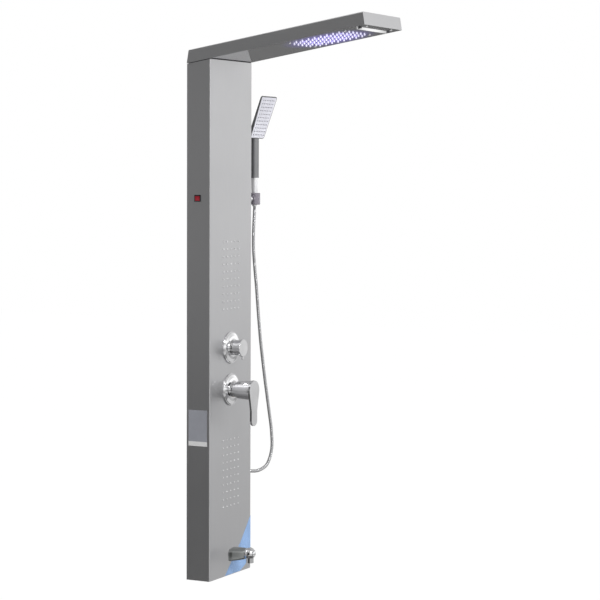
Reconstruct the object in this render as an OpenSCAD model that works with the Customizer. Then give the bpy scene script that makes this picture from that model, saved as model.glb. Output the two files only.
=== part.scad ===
// Wall-hung shower panel column with a raised rain arm, body jets, mixer, bath spout and handset.
// X runs to the right as one faces the panel, Y runs into the wall and Z runs up.
// The origin is the middle of the column's lower rear edge, in the plane of the wall.

/* [Column] */
// Height to the top front edge of the arm
overall_h = 1300; // [1250:5:1450]
// Width of the column and the arm
panel_w = 200; // [196:2:230]
// Depth of the column from the wall to its front face
panel_d = 62; // [60:1:72]
// Thickness of the stainless sheet
sheet_t = 1.2; // [1:0.1:1.5]
// Outer radius of the folds
fold_r = 2.4; // [2:0.1:3.2]
// Width of the flanges returned along the wall
flange_w = 15; // [12:1:18]
// Gap between the top edge of the column and the arm
seam_gap = 1.6; // [1:0.1:2.4]

/* [Arm] */
// Reach of the arm from the wall to its lower front edge
arm_reach = 450; // [440:5:500]
// Thickness of the arm
arm_t = 29; // [28:0.5:34]
// Angle that the arm leans up from level
arm_tilt = 9.5; // [8:0.5:12]
// Forward lean of the arm's rear face from bottom to top
rear_lean = 10; // [6:0.5:12]
// Distance from the arm's end to the middle of the rain head
rain_end = 136.4; // [131:0.2:143]
// Nozzles across the rain head
rain_cols = 7; // [5:2:7]
// Nozzles along the rain head
rain_rows = 10; // [8:2:10]
// Pitch of the nozzles across the rain head
rain_pitch_x = 20; // [18:0.5:20]
// Pitch of the nozzles along the rain head
rain_pitch_s = 15.5; // [14.5:0.5:16]
// Radius of a rain nozzle
rain_nozzle_r = 2; // [1.5:0.1:2.2]
// Radius of a light guide
led_r = 4; // [3:0.1:4.4]
// Length of the waterfall slot across the arm
slot_w = 152; // [140:2:160]
// Width of the waterfall slot along the arm
slot_l = 12; // [10:0.5:14]
// Distance from the end of the arm to the slot's far edge
slot_end = 19; // [18:0.5:21]

/* [Body jets] */
// Jets across each field
jet_cols = 5; // [3:1:5]
// Jets up each field
jet_rows = 10; // [7:1:10]
// Distance between jets across a field
jet_pitch_x = 18; // [15:0.5:20]
// Distance between jets up a field
jet_pitch_z = 17.4; // [15:0.2:18]
// Radius of a jet nozzle
jet_nozzle_r = 1.8; // [1.4:0.1:2.2]
// Distance that a jet stands out of the sheet
jet_proud = 1.4; // [1:0.1:2]
// Height of the middle of the upper field
jet_upper_z = 707.5; // [700:0.5:730]
// Height of the middle of the lower field
jet_lower_z = 243.5; // [235:0.5:248]

/* [Controls] */
// Height of the diverter
diverter_z = 537.5; // [534:0.5:545]
// Height of the mixer
mixer_z = 439; // [434:0.5:442]
// Radius of the round flanges behind the diverter knob and the mixer handle
escutcheon_r = 38; // [34:0.5:40]
// Reach from the front face to the front of the diverter knob
knob_reach = 34; // [32:0.5:38]
// Radius of the diverter knob's front disc
knob_r = 20.5; // [19:0.5:23]
// Reach from the front face to the pivot of the mixer handle
pivot_reach = 21.5; // [21:0.5:24]
// Distance from the pivot to the front of the mixer handle
handle_reach = 42; // [40:0.5:46]
// Radius of the mixer's neck
neck_r = 17.5; // [17:0.1:18]
// Width of the mixer's paddle
paddle_w = 27; // [22:0.5:30]
// Distance from the mixer's axis down to the tip of its paddle
paddle_l = 83; // [75:1:95]
// Thickness of the mixer's paddle
paddle_t = 4.8; // [4:0.2:6]
// Height of the middle of the light switch
switch_z = 887; // [880:1:900]
// Distance from the wall to the middle of the light switch
switch_d = 29.4; // [27:0.2:32]

/* [Bath spout] */
// Height of the spout's waterway
spout_z = 50; // [48:0.5:54]
// Reach from the front face to the middle of the spout's round end
spout_reach = 52; // [50:0.5:56]
// Width of the spout at the column
spout_root_w = 57; // [50:1:62]
// Radius of the spout's round end
spout_end_r = 13.8; // [13:0.1:15]

/* [Handset and hose] */
// Distance from the column's side to the handset's axis
cradle_x = 42; // [40:0.5:46]
// Distance from the wall to the handset's axis
cradle_d = 47.5; // [46:0.5:49]
// Height of the cradle's pivot
cradle_z = 884; // [876:1:892]
// Width of the handset's head at its top
head_w = 78; // [72:1:84]
// Length of the handset's head
head_l = 105; // [98:1:112]
// Angle that the handset's head leans forward
head_lean = 19; // [15:0.5:22]
// Outer diameter of the ribbed hose
hose_d = 8; // [7:0.5:8.5]
// Height of the hose outlet on the column's side
outlet_z = 228; // [220:1:232]

/* [Hidden] */

$fn = 48;
// Overrun of a cut past the face that it opens
cut = 1;
// Space left between loose neighbours
gap = 0.3;
// Radial clearance of a shaft that turns in its bore
run = 0.05;

// The seam is the plane of the arm's underside, where it meets the front face
seam_z = overall_h - arm_t * cos(arm_tilt) - (arm_reach - panel_d) * tan(arm_tilt);
arm_len = (arm_reach - panel_d) / cos(arm_tilt);
rain_s = arm_len - rain_end;
arm_rear = panel_d / cos(arm_tilt);
lean_angle = atan(rear_lean / arm_t);
half_w = panel_w / 2;
front_y = -panel_d;
inner_front = panel_d - sheet_t;
inner_half = half_w - sheet_t;
fold_in = fold_r - sheet_t;

// Screws and nuts of the sheet work
m4_r = 2;
m4_head_r = 3.8;
m4_head_t = 2;
head_taper_share = 0.8;
m4_nut_r = 4;
m4_nut_t = 3.2;
stud_l = 9;
head_screw_l = 9;

// Tubes inside the panel
tube_r = 6;
tube_bore = 4;
tube_bend = 16;
tube_d = 24;
bend_wall = 0.4;
bend_lap = 1;

// Water boxes and silicone mats
mat_t = 2;
box_wall = 2.5;
box_margin = 14;
jet_box_t = 12;
rain_box_t = 15;
rain_margin_x = 9;
rain_margin_s = 9;
rain_stub_l = 8;
stub_r = 8;
ear_r = 6;
hole_gap = 0.2;

// Places in the arm's own frame: Y runs back along the arm and Z is square to its underside
module in_arm() {
    translate([0, front_y, seam_z])
        rotate([-arm_tilt, 0, 0])
            children();
}

// Places on the front face: Z points out of the panel and Y up
module on_front(x, z) {
    translate([x, front_y, z])
        rotate([90, 0, 0])
            children();
}

// Places on the right side, Z pointing out, and on the left side, Z pointing out
module on_right(d, z) {
    translate([half_w, -d, z])
        rotate([0, 90, 0])
            children();
}

module on_left(d, z) {
    translate([-half_w, -d, z])
        rotate([0, -90, 0])
            children();
}

// A rectangle about the origin with round corners
module round_rect(w, h, r) {
    square([w - 2 * r, h], center = true);
    square([w, h - 2 * r], center = true);
    for (x = [-1, 1], y = [-1, 1])
        translate([x * (w / 2 - r), y * (h / 2 - r)])
            circle(r);
}

// A hole along Z between two heights, run over at both ends
module bore(r, low, high) {
    translate([0, 0, low - cut])
        cylinder(r = r, h = high - low + 2 * cut);
}

// A disc along Z between two heights, with both its rims chamfered
module chamfered(r, low, high, edge) {
    rotate_extrude()
        polygon([[0, low], [r - edge, low], [r, low + edge], [r, high - edge], [r - edge, high], [0, high]]);
}

module ring(r_out, r_in, h) {
    difference() {
        cylinder(r = r_out, h = h);
        bore(r_in, 0, h);
    }
}

// A bend of tube from the origin, heading up and turning towards +X, a little thicker than the tube
module elbow(angle, r_out, r_in, bend_r) {
    translate([bend_r, 0, 0])
        rotate([90, 0, 180])
            rotate_extrude(angle = angle)
                translate([bend_r, 0])
                    difference() {
                        circle(r_out + bend_wall);
                        circle(r_in - bend_wall);
                    }
}

// A tube bent along legs of [straight length, angle of the bend after it, side that it bends to]
module tube_run(legs, r_out = tube_r, r_in = tube_bore, bend_r = tube_bend, i = 0) {
    if (i < len(legs)) {
        length = legs[i][0];
        angle = legs[i][1];
        side = legs[i][2];
        before = i > 0 ? bend_lap : 0;
        after = angle > 0 ? bend_lap : 0;
        translate([0, 0, -before])
            ring(r_out, r_in, before + length + after);
        translate([0, 0, length])
            rotate([0, 0, side]) {
                if (angle > 0)
                    elbow(angle, r_out, r_in, bend_r);
                translate([bend_r * (1 - cos(angle)), 0, bend_r * sin(angle)])
                    rotate([0, angle, 0])
                        rotate([0, 0, -side])
                            tube_run(legs, r_out, r_in, bend_r, i + 1);
            }
    }
}

// Places of the jets of a field, about its middle
jet_places = [
    for (i = [0 : jet_cols - 1], j = [0 : jet_rows - 1])
        [(i - (jet_cols - 1) / 2) * jet_pitch_x, (j - (jet_rows - 1) / 2) * jet_pitch_z]
];
jet_box_w = (jet_cols - 1) * jet_pitch_x + 2 * box_margin;
jet_box_h = (jet_rows - 1) * jet_pitch_z + 2 * box_margin;
ear_x = jet_box_w / 2 + ear_r;
ear_y = jet_box_h / 2 - ear_r;
ear_places = [for (x = [-ear_x, ear_x], y = [-ear_y, ear_y]) [x, y]];

// Column: the valves' spigots and the other things that pass through its sheet
mixer_spigot_r = 18;
diverter_spigot_r = 13;
spout_tail_r = 10.2;
outlet_tail_r = 10.2;
switch_w = 14;
switch_h = 13;
post_screw_r = 4;

module column_section() {
    translate([0, -panel_d / 2])
        difference() {
            round_rect(panel_w, panel_d, fold_r);
            round_rect(panel_w - 2 * sheet_t, panel_d - 2 * sheet_t, fold_in);
            translate([0, panel_d / 2])
                square([panel_w - 2 * flange_w, 3 * sheet_t], center = true);
        }
}

module column_shell() {
    color("silver")
        difference() {
            linear_extrude(seam_z + panel_d)
                column_section();
            in_arm()
                translate([-panel_w, -panel_d, -seam_gap])
                    cube([2 * panel_w, 3 * panel_d, 2 * panel_d]);
            for (z = [jet_upper_z, jet_lower_z], place = jet_places)
                front_hole(place.x, z + place.y, jet_nozzle_r + hole_gap);
            front_hole(0, diverter_z, diverter_spigot_r + hole_gap);
            front_hole(0, mixer_z, mixer_spigot_r + hole_gap);
            front_hole(0, spout_z, spout_tail_r + hole_gap);
            on_right(tube_d, outlet_z)
                bore(outlet_tail_r + hole_gap, -sheet_t, 0);
            on_right(cradle_d, cradle_z)
                bore(post_screw_r + hole_gap, -sheet_t, 0);
            on_left(switch_d, switch_z)
                cube([switch_h + 2 * hole_gap, switch_w + 2 * hole_gap, 4 * sheet_t], center = true);
        }
}

module front_hole(x, z, r) {
    on_front(x, z)
        bore(r, -sheet_t, 0);
}

// Bottom plate: it closes the column and turns up in the plane of the wall
bottom_flange_h = 20;
bottom_gap = 0.1;

module bottom_plate() {
    tongue = panel_w - 2 * flange_w - 2 * gap;
    color("silver") {
        difference() {
            translate([0, -panel_d / 2, 0])
                linear_extrude(sheet_t)
                    round_rect(panel_w - 2 * sheet_t - 2 * bottom_gap,
                        panel_d - 2 * sheet_t - 2 * bottom_gap, fold_in);
            for (x = [-half_w / 2, half_w / 2])
                translate([x, -panel_d / 2, 0])
                    bore(m4_r, 0, sheet_t);
        }
        translate([-tongue / 2, -2 * sheet_t, 0])
            cube([tongue, 2 * sheet_t, sheet_t]);
        translate([-tongue / 2, -sheet_t, 0])
            cube([tongue, sheet_t, bottom_flange_h]);
    }
}

// Arm: a folded cover with top, sides, front end and rear
function rear_at(h, inset) = arm_rear - inset - rear_lean * h / arm_t;

// A bar of the arm's side outline, as wide as w
module arm_block(w, low, front, rear, up) {
    translate([-w / 2, 0, 0])
        rotate([90, 0, 90])
            linear_extrude(w)
                polygon([
                    [-arm_len + front, low],
                    [rear_at(low, rear), low],
                    [rear_at(arm_t - up, rear), arm_t - up],
                    [-arm_len + front, arm_t - up]
                ]);
}

module arm_shell() {
    color("dimgray")
        in_arm()
            difference() {
                intersection() {
                    arm_block(panel_w, 0, 0, 0, 0);
                    translate([0, arm_rear + cut, 0])
                        rotate([90, 0, 0])
                            linear_extrude(arm_len + arm_rear + 2 * cut)
                                arm_top_round(panel_w, arm_t, fold_r);
                }
                arm_block(panel_w - 2 * sheet_t, -cut, sheet_t, sheet_t / cos(lean_angle), sheet_t);
            }
}

// A rectangle that stands on the X axis with its two upper corners round
module arm_top_round(w, h, r) {
    translate([-w / 2, 0])
        square([w, h - r]);
    translate([-w / 2 + r, 0])
        square([w - 2 * r, h]);
    for (x = [-1, 1])
        translate([x * (w / 2 - r), h - r])
            circle(r);
}

// Rain head: places in the arm's frame, round rain_s
rain_half_x = (rain_cols - 1) / 2 * rain_pitch_x;
rain_half_s = (rain_rows - 1) / 2 * rain_pitch_s;
rain_places = [
    for (i = [0 : rain_cols - 1], j = [0 : rain_rows - 1])
        if (!((i == 0 || i == rain_cols - 1) && (j == 0 || j == rain_rows - 1)))
            [i * rain_pitch_x - rain_half_x, -rain_s - rain_half_s + j * rain_pitch_s]
];
led_places = [
    for (i = [-1, 0, 1], j = [0 : 2 : rain_rows - 3])
        [2 * i * rain_pitch_x, -rain_s - rain_half_s + (j + 1.5) * rain_pitch_s]
];
rain_screw_out = 4;
rain_screws = [
    for (x = [-1, 1], y = [-1, 1])
        [x * (rain_half_x + rain_screw_out), -rain_s + y * rain_half_s]
];
rain_proud = 2.5;
led_proud = 1.2;
rain_box_w = 2 * (rain_half_x + rain_margin_x);
rain_box_l = 2 * (rain_half_s + rain_margin_s);
rain_box_low = sheet_t + mat_t;
rain_box_high = rain_box_low + rain_box_t;
arm_tube_z = rain_box_low + rain_box_t / 2;
side_lip_h = 6;
lip_setback = 3;

// Waterfall: a flat box over the slot, whose lip shows below the plate
slot_front = -arm_len + slot_end;
slot_rear = slot_front + slot_l;
chute_side = 15;
chute_back = 14;
chute_front = 4;
chute_wall = 1.5;
chute_t = 2 * (arm_tube_z - sheet_t);
chute_lip = 3;
chute_w = slot_w + 2 * chute_side;
chute_screw_x = 65;
chute_screw_y = slot_front - 6.5;
chute_screws = [[-chute_screw_x, chute_screw_y], [chute_screw_x, chute_screw_y]];

module at_places(places, z) {
    for (place = places)
        translate([place.x, place.y, z])
            children();
}

module arm_underside() {
    half = inner_half - bottom_gap;
    front = arm_len - sheet_t - bottom_gap;
    color("gray")
        in_arm() {
            difference() {
                translate([-half, -front, 0])
                    cube([2 * half, front + sheet_t - gap, sheet_t]);
                at_places(rain_places, 0)
                    bore(rain_nozzle_r + hole_gap, 0, sheet_t);
                at_places(led_places, 0)
                    bore(led_r + hole_gap, 0, sheet_t);
                at_places(concat(rain_screws, chute_screws), 0)
                    bore(m4_r + hole_gap, 0, sheet_t);
                translate([-slot_w / 2, slot_front, -cut])
                    cube([slot_w, slot_l, sheet_t + 2 * cut]);
            }
            for (x = [-half, half - sheet_t])
                translate([x, -front, sheet_t])
                    cube([sheet_t, front - lip_setback, side_lip_h]);
        }
}

// Coupling: a folded strip inside the joint, on three sides, low in front of the pipes
coupling_t = 1.5;
coupling_down = 32;
coupling_up = 14;
coupling_front_up = 3;
coupling_open = 14;

module arm_coupling() {
    outer_w = panel_w - 2 * sheet_t - 2 * hole_gap;
    outer_d = panel_d - 2 * sheet_t - 2 * hole_gap;
    inner_w = outer_w - 2 * coupling_t;
    color("slategray")
        difference() {
            translate([0, -panel_d / 2, seam_z - coupling_down])
                linear_extrude(coupling_down + coupling_up)
                    difference() {
                        round_rect(outer_w, outer_d, fold_in);
                        square([inner_w, outer_d - 2 * coupling_t], center = true);
                        translate([0, panel_d - coupling_open])
                            square([2 * panel_w, panel_d], center = true);
                    }
            translate([-inner_w / 2, -panel_d, seam_z + coupling_front_up])
                cube([inner_w, panel_d, coupling_up]);
        }
}

// Rain nozzles: a silicone mat on the plate, with a tapered nozzle in each hole
nozzle_taper_share = 0.85;
nozzle_bore_r = 0.7;

module rain_nozzles() {
    color("whitesmoke")
        in_arm()
            difference() {
                union() {
                    translate([0, -rain_s, sheet_t])
                        linear_extrude(mat_t)
                            round_rect(rain_box_w, rain_box_l, box_wall);
                    at_places(rain_places, -rain_proud)
                        cylinder(r1 = rain_nozzle_r * nozzle_taper_share, r2 = rain_nozzle_r,
                            h = rain_proud + sheet_t + mat_t / 2);
                }
                at_places(rain_places, 0)
                    bore(nozzle_bore_r, -rain_proud, sheet_t + mat_t);
                at_places(led_places, sheet_t)
                    bore(led_r + hole_gap, 0, mat_t);
                at_places(rain_screws, sheet_t)
                    bore(m4_r + hole_gap, 0, mat_t);
            }
}

// Rain chamber: a box open towards the mat, with a sleeve for each light guide and a boss for each screw
sleeve_wall = 1.6;
boss_r = 4.4;

module rain_chamber() {
    color("ivory")
        in_arm()
            difference() {
                union() {
                    difference() {
                        translate([0, -rain_s, rain_box_low])
                            linear_extrude(rain_box_t)
                                round_rect(rain_box_w, rain_box_l, box_wall);
                        translate([0, -rain_s, rain_box_low - cut])
                            linear_extrude(rain_box_t - box_wall + cut)
                                square([rain_box_w, rain_box_l] - 2 * [box_wall, box_wall], center = true);
                    }
                    at_places(led_places, rain_box_low)
                        cylinder(r = led_r + sleeve_wall, h = rain_box_t - box_wall / 2);
                    at_places(rain_screws, rain_box_low)
                        cylinder(r = boss_r, h = rain_box_t - box_wall / 2);
                    translate([-port_x, -rain_s + rain_box_l / 2 - box_wall / 2, arm_tube_z])
                        rotate([-90, 0, 0])
                            cylinder(r = rain_box_t / 2, h = rain_stub_l + box_wall / 2);
                }
                at_places(led_places, rain_box_low)
                    bore(led_r + run, 0, rain_box_t);
                at_places(rain_screws, rain_box_low - cut)
                    cylinder(r = m4_r + run, h = rain_box_t - box_wall);
                translate([-port_x, -rain_s + rain_box_l / 2, arm_tube_z])
                    rotate([-90, 0, 0])
                        bore(tube_bore, -box_wall, rain_stub_l);
            }
}

module led_lenses() {
    color("lavender")
        in_arm()
            at_places(led_places, -led_proud)
                cylinder(r = led_r, h = led_proud + rain_box_high - led_chip_t - gap);
}

// Circuit board: it lies on the chamber, with a chip over each light guide
board_t = 1.6;
board_inset = 3;
led_chip_t = 0.8;
plug_size = [10, 12, 6];
cable_r = 2.5;
cable_x = -rain_half_x - rain_margin_x / 3;

module led_board() {
    color("seagreen")
        in_arm() {
            translate([0, -rain_s, rain_box_high])
                linear_extrude(board_t)
                    round_rect(rain_box_w - 2 * board_inset, rain_box_l - 2 * board_inset, box_wall);
            at_places(led_places, rain_box_high - led_chip_t)
                cylinder(r = led_r / 2, h = led_chip_t);
            translate([cable_x - plug_size.x / 2, -rain_s + rain_box_l / 2 - board_inset - plug_size.y,
                rain_box_high + board_t])
                cube(plug_size);
        }
}

module waterfall_chute() {
    lip_w = slot_w - 2 * hole_gap;
    lip_l = slot_l - 2 * hole_gap;
    box_l = slot_l + chute_front + chute_back;
    front = slot_front + hole_gap;
    color("silver")
        in_arm()
            difference() {
                union() {
                    translate([-chute_w / 2, slot_front - chute_front, sheet_t])
                        cube([chute_w, box_l, chute_t]);
                    translate([-lip_w / 2, front, -chute_lip])
                        cube([lip_w, lip_l, chute_lip + sheet_t + chute_wall]);
                    at_places(chute_screws, sheet_t)
                        cylinder(r = boss_r, h = chute_t / 2);
                    translate([lane_x, slot_rear + chute_back, arm_tube_z])
                        rotate([-90, 0, 0])
                            cylinder(r = rain_box_t / 2, h = rain_stub_l);
                }
                translate([0, slot_front - chute_front + box_l / 2, sheet_t + chute_t / 2])
                    cube([chute_w, box_l, chute_t] - 2 * [chute_wall, chute_wall, chute_wall], center = true);
                translate([chute_wall - lip_w / 2, front - cut, -chute_lip - cut])
                    cube([lip_w - 2 * chute_wall, lip_l - chute_wall + cut, chute_lip + cut]);
                translate([chute_wall - lip_w / 2, front, -cut])
                    cube([lip_w - 2 * chute_wall, lip_l - chute_wall, sheet_t + chute_wall + 2 * cut]);
                at_places(chute_screws, 0)
                    cylinder(r = m4_r + run, h = head_screw_l + gap);
                translate([lane_x, slot_rear + chute_back, arm_tube_z])
                    rotate([-90, 0, 0])
                        bore(tube_bore, -chute_wall, rain_stub_l);
            }
}

// A screw that points up from its head
module pan_screw(length) {
    translate([0, 0, -m4_head_t])
        cylinder(r1 = m4_head_r * head_taper_share, r2 = m4_head_r, h = m4_head_t);
    cylinder(r = m4_r, h = length);
}

module head_screws() {
    color("silver")
        in_arm()
            at_places(concat(rain_screws, chute_screws), 0)
                pan_screw(head_screw_l);
}

// Body jets: a silicone mat behind the sheet, a water box behind the mat, and studs welded to the sheet
stud_z = -sheet_t;
mat_z = -sheet_t - mat_t;
jet_box_z = mat_z - jet_box_t;
jet_stub_end = panel_d - tube_d - tube_bend;
ear_t = 5;

module jet_nozzles(height) {
    color("whitesmoke")
        on_front(0, height)
            difference() {
                union() {
                    translate([0, 0, mat_z])
                        linear_extrude(mat_t)
                            round_rect(jet_box_w, jet_box_h, box_wall);
                    at_places(jet_places, mat_z + mat_t / 2)
                        cylinder(r1 = jet_nozzle_r, r2 = jet_nozzle_r * nozzle_taper_share,
                            h = mat_t / 2 + sheet_t + jet_proud);
                }
                at_places(jet_places, 0)
                    bore(nozzle_bore_r, mat_z, jet_proud);
            }
}

module jet_nozzles_upper() jet_nozzles(jet_upper_z);
module jet_nozzles_lower() jet_nozzles(jet_lower_z);

module jet_chamber(height, stub_x) {
    color("ivory")
        on_front(0, height)
            difference() {
                union() {
                    translate([0, 0, jet_box_z])
                        linear_extrude(jet_box_t)
                            round_rect(jet_box_w, jet_box_h, box_wall);
                    at_places(ear_places, stud_z - ear_t)
                        cylinder(r = ear_r, h = ear_t);
                    for (y = [-ear_y, ear_y])
                        translate([0, y, stud_z - ear_t + (ear_t - mat_t) / 2])
                            cube([2 * ear_x, 2 * ear_r, ear_t - mat_t], center = true);
                    translate([stub_x, 0, -jet_stub_end])
                        cylinder(r = stub_r, h = jet_stub_end + jet_box_z + box_wall / 2);
                }
                translate([0, 0, jet_box_z + box_wall])
                    linear_extrude(jet_box_t)
                        square([jet_box_w, jet_box_h] - 2 * [box_wall, box_wall], center = true);
                at_places(ear_places, stud_z)
                    bore(m4_r + hole_gap, -ear_t, 0);
                translate([stub_x, 0, 0])
                    bore(tube_bore, -jet_stub_end, jet_box_z + box_wall);
            }
}

module jet_chamber_upper() jet_chamber(jet_upper_z, 0);
module jet_chamber_lower() jet_chamber(jet_lower_z, -port_x);

module at_studs() {
    for (height = [jet_upper_z, jet_lower_z])
        on_front(0, height)
            at_places(ear_places, stud_z)
                children();
}

module chamber_studs() {
    color("silver")
        at_studs()
            translate([0, 0, -stud_l])
                cylinder(r = m4_r, h = stud_l);
}

module hex_nut(r, inner, h) {
    difference() {
        cylinder(r = r, h = h, $fn = 6);
        bore(inner, 0, h);
    }
}

module chamber_nuts() {
    color("silver")
        at_studs()
            translate([0, 0, -ear_t - m4_nut_t])
                hex_nut(m4_nut_r, m4_r + run, m4_nut_t);
}

// Diverter: a brass body on the column's inner face, with ports up and down from its cross bar
port_x = 40;
port_l = 26;
bar_r = 10;
bar_end = 10;
diverter_r = 17;
diverter_tail = 12;
diverter_spigot = 8;
feed_d = 16;
spindle_r = 5;
spindle_seat = 20;

// Diverter ports: places across the panel, depth from the front face, and up or down
diverter_ports = [
    for (x = [-port_x, 0, port_x], way = [-1, 1]) [x, panel_d - tube_d, way],
    [0, feed_d, -1]
];

module at_ports(ports) {
    for (port = ports)
        translate([port[0], 0, -port[1]])
            rotate([port[2] > 0 ? -90 : 90, 0, 0])
                children();
}

module diverter_valve() {
    depth = panel_d - tube_d + diverter_tail;
    color("goldenrod")
        on_front(0, diverter_z)
            difference() {
                union() {
                    translate([0, 0, -depth])
                        cylinder(r = diverter_r, h = depth - sheet_t);
                    translate([0, 0, -sheet_t - cut])
                        cylinder(r = diverter_spigot_r, h = sheet_t + cut + diverter_spigot);
                    translate([-port_x - bar_end, 0, tube_d - panel_d])
                        rotate([0, 90, 0])
                            cylinder(r = bar_r, h = 2 * (port_x + bar_end));
                    at_ports(diverter_ports)
                        cylinder(r = stub_r, h = port_l);
                }
                at_ports(diverter_ports)
                    cylinder(r = tube_bore, h = port_l + cut);
                translate([-port_x, 0, tube_d - panel_d])
                    rotate([0, 90, 0])
                        cylinder(r = tube_bore, h = 2 * port_x);
                translate([0, 0, -spindle_seat])
                    cylinder(r = spindle_r + run, h = spindle_seat + diverter_spigot + cut);
            }
}

// A round flange turned about Z, from its rim on the sheet to its raised middle
flange_edge_t = 3;
flange_step = 2.6;
flange_rise = 8;
flange_top_share = 0.56;
flange_slope_share = 0.71;

module escutcheon(inner) {
    rotate_extrude()
        polygon([
            [inner, 0],
            [escutcheon_r, 0],
            [escutcheon_r, flange_edge_t - flange_step / 2],
            [escutcheon_r - flange_step / 2, flange_edge_t],
            [escutcheon_r - flange_step, flange_edge_t],
            [escutcheon_r - flange_step - flange_step / 2, flange_edge_t + flange_step / 2],
            [escutcheon_r * flange_slope_share, flange_rise - flange_step / 2],
            [escutcheon_r * flange_top_share, flange_rise],
            [inner, flange_rise]
        ]);
}

module diverter_flange() {
    color("lightgray")
        on_front(0, diverter_z)
            escutcheon(diverter_spigot_r + run);
}

collar_t = 3;
collar_r = 15;

module diverter_nut() {
    color("goldenrod")
        on_front(0, diverter_z)
            translate([0, 0, flange_rise])
                hex_nut(collar_r, spindle_r + gap, collar_t);
}

knob_body_r = 18;
knob_wall = 2;
knob_disc_t = 6;
knob_gap = 0.6;
knob_edge = 0.8;
hub_r = 8;

module diverter_spindle() {
    color("goldenrod")
        on_front(0, diverter_z)
            translate([0, 0, -spindle_seat + gap])
                cylinder(r = spindle_r, h = spindle_seat - gap + knob_reach - knob_disc_t);
}

module diverter_knob() {
    low = flange_rise + knob_gap;
    disc = knob_reach - knob_disc_t;
    color("gray")
        on_front(0, diverter_z)
            difference() {
                union() {
                    translate([0, 0, low])
                        cylinder(r = knob_body_r, h = disc - low + cut);
                    chamfered(knob_r, disc, knob_reach, knob_edge);
                }
                translate([0, 0, low])
                    ring(knob_body_r - knob_wall, hub_r, disc - low - knob_wall);
                translate([0, 0, low - cut])
                    cylinder(r = knob_body_r - knob_wall, h = collar_t + knob_gap + cut);
                translate([0, 0, low - cut])
                    cylinder(r = spindle_r, h = disc - low + cut);
                knob_peg_place()
                    cylinder(r = peg_r, h = knob_r);
            }
}

peg_r = 2.5;
peg_seat = 5;
peg_out = 7;

module knob_peg_place() {
    translate([0, peg_seat - knob_r, knob_reach - knob_disc_t / 2])
        rotate([90, 0, 0])
            children();
}

module diverter_peg() {
    color("silver")
        on_front(0, diverter_z)
            knob_peg_place() {
                cylinder(r = peg_r, h = peg_seat + peg_out - knob_edge);
                translate([0, 0, peg_seat + peg_out - knob_edge])
                    cylinder(r1 = peg_r, r2 = peg_r - knob_edge, h = knob_edge);
            }
}

// Mixer: a brass body with the hot and cold inlets pointing down from the ends of its cross bar
mixer_r = 21;
mixer_depth = 30;
mixer_spigot = 4;
inlet_x = 48;
inlet_boss_r = 13;
inlet_thread_r = 10.48;
inlet_thread_l = 14;
inlet_bore_r = 7;
mixer_port_l = 29;
cartridge_r = 15;
cartridge_seat = 18;
cartridge_front = 14;

module mixer_valve() {
    color("goldenrod")
        on_front(0, mixer_z)
            difference() {
                union() {
                    translate([0, 0, -mixer_depth])
                        cylinder(r = mixer_r, h = mixer_depth - sheet_t);
                    translate([0, 0, -sheet_t - cut])
                        cylinder(r = mixer_spigot_r, h = sheet_t + cut + mixer_spigot);
                    translate([-inlet_x, 0, -feed_d])
                        rotate([0, 90, 0])
                            cylinder(r = bar_r, h = 2 * inlet_x);
                    for (x = [-inlet_x, inlet_x])
                        translate([x, inlet_boss_r, -feed_d])
                            rotate([90, 0, 0]) {
                                cylinder(r = inlet_boss_r, h = 2 * inlet_boss_r);
                                cylinder(r = inlet_thread_r, h = 2 * inlet_boss_r + inlet_thread_l);
                            }
                    translate([0, 0, -feed_d])
                        rotate([-90, 0, 0])
                            cylinder(r = stub_r, h = mixer_port_l);
                }
                translate([0, 0, -cartridge_seat])
                    cylinder(r = cartridge_r + run, h = cartridge_seat + mixer_spigot + cut);
                for (x = [-inlet_x, inlet_x])
                    translate([x, -inlet_boss_r - inlet_thread_l - cut, -feed_d])
                        rotate([-90, 0, 0])
                            cylinder(r = inlet_bore_r, h = inlet_boss_r + inlet_thread_l + cut);
                translate([0, 0, -feed_d])
                    rotate([-90, 0, 0])
                        bore(tube_bore, mixer_r, mixer_port_l);
            }
}

module mixer_flange() {
    color("lightgray")
        on_front(0, mixer_z)
            escutcheon(mixer_spigot_r + run);
}

// Neck: a tube on the valve's spigot that ends in a dome about the handle's pivot, open for the stem
neck_wall = 1.8;
dome_mouth_r = 12.5;

module mixer_neck() {
    color("gray")
        on_front(0, mixer_z)
            difference() {
                union() {
                    translate([0, 0, mixer_spigot])
                        cylinder(r = neck_r, h = pivot_reach - mixer_spigot);
                    translate([0, 0, pivot_reach])
                        sphere(r = neck_r);
                }
                translate([0, 0, -neck_r])
                    cylinder(r = 2 * neck_r, h = neck_r + mixer_spigot);
                translate([0, 0, mixer_spigot - cut])
                    cylinder(r = neck_r - neck_wall, h = pivot_reach - mixer_spigot + cut);
                translate([0, 0, pivot_reach])
                    sphere(r = neck_r - neck_wall);
                translate([0, 0, pivot_reach])
                    cylinder(r = dome_mouth_r, h = neck_r + cut);
            }
}

// Cartridge: it seats in the valve and carries the turning carrier on a pilot
carrier_pilot_r = 6;
carrier_pilot_l = 8;

module mixer_cartridge() {
    color("white")
        on_front(0, mixer_z)
            difference() {
                translate([0, 0, -cartridge_seat])
                    cylinder(r = cartridge_r, h = cartridge_seat + cartridge_front);
                translate([0, 0, cartridge_front - carrier_pilot_l - gap])
                    cylinder(r = carrier_pilot_r + run, h = carrier_pilot_l + gap + cut);
            }
}

carrier_r = 11.5;
stem_w = 8;
ear_w = 4;
ear_reach = 4.5;
pin_r = 1.5;

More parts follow.
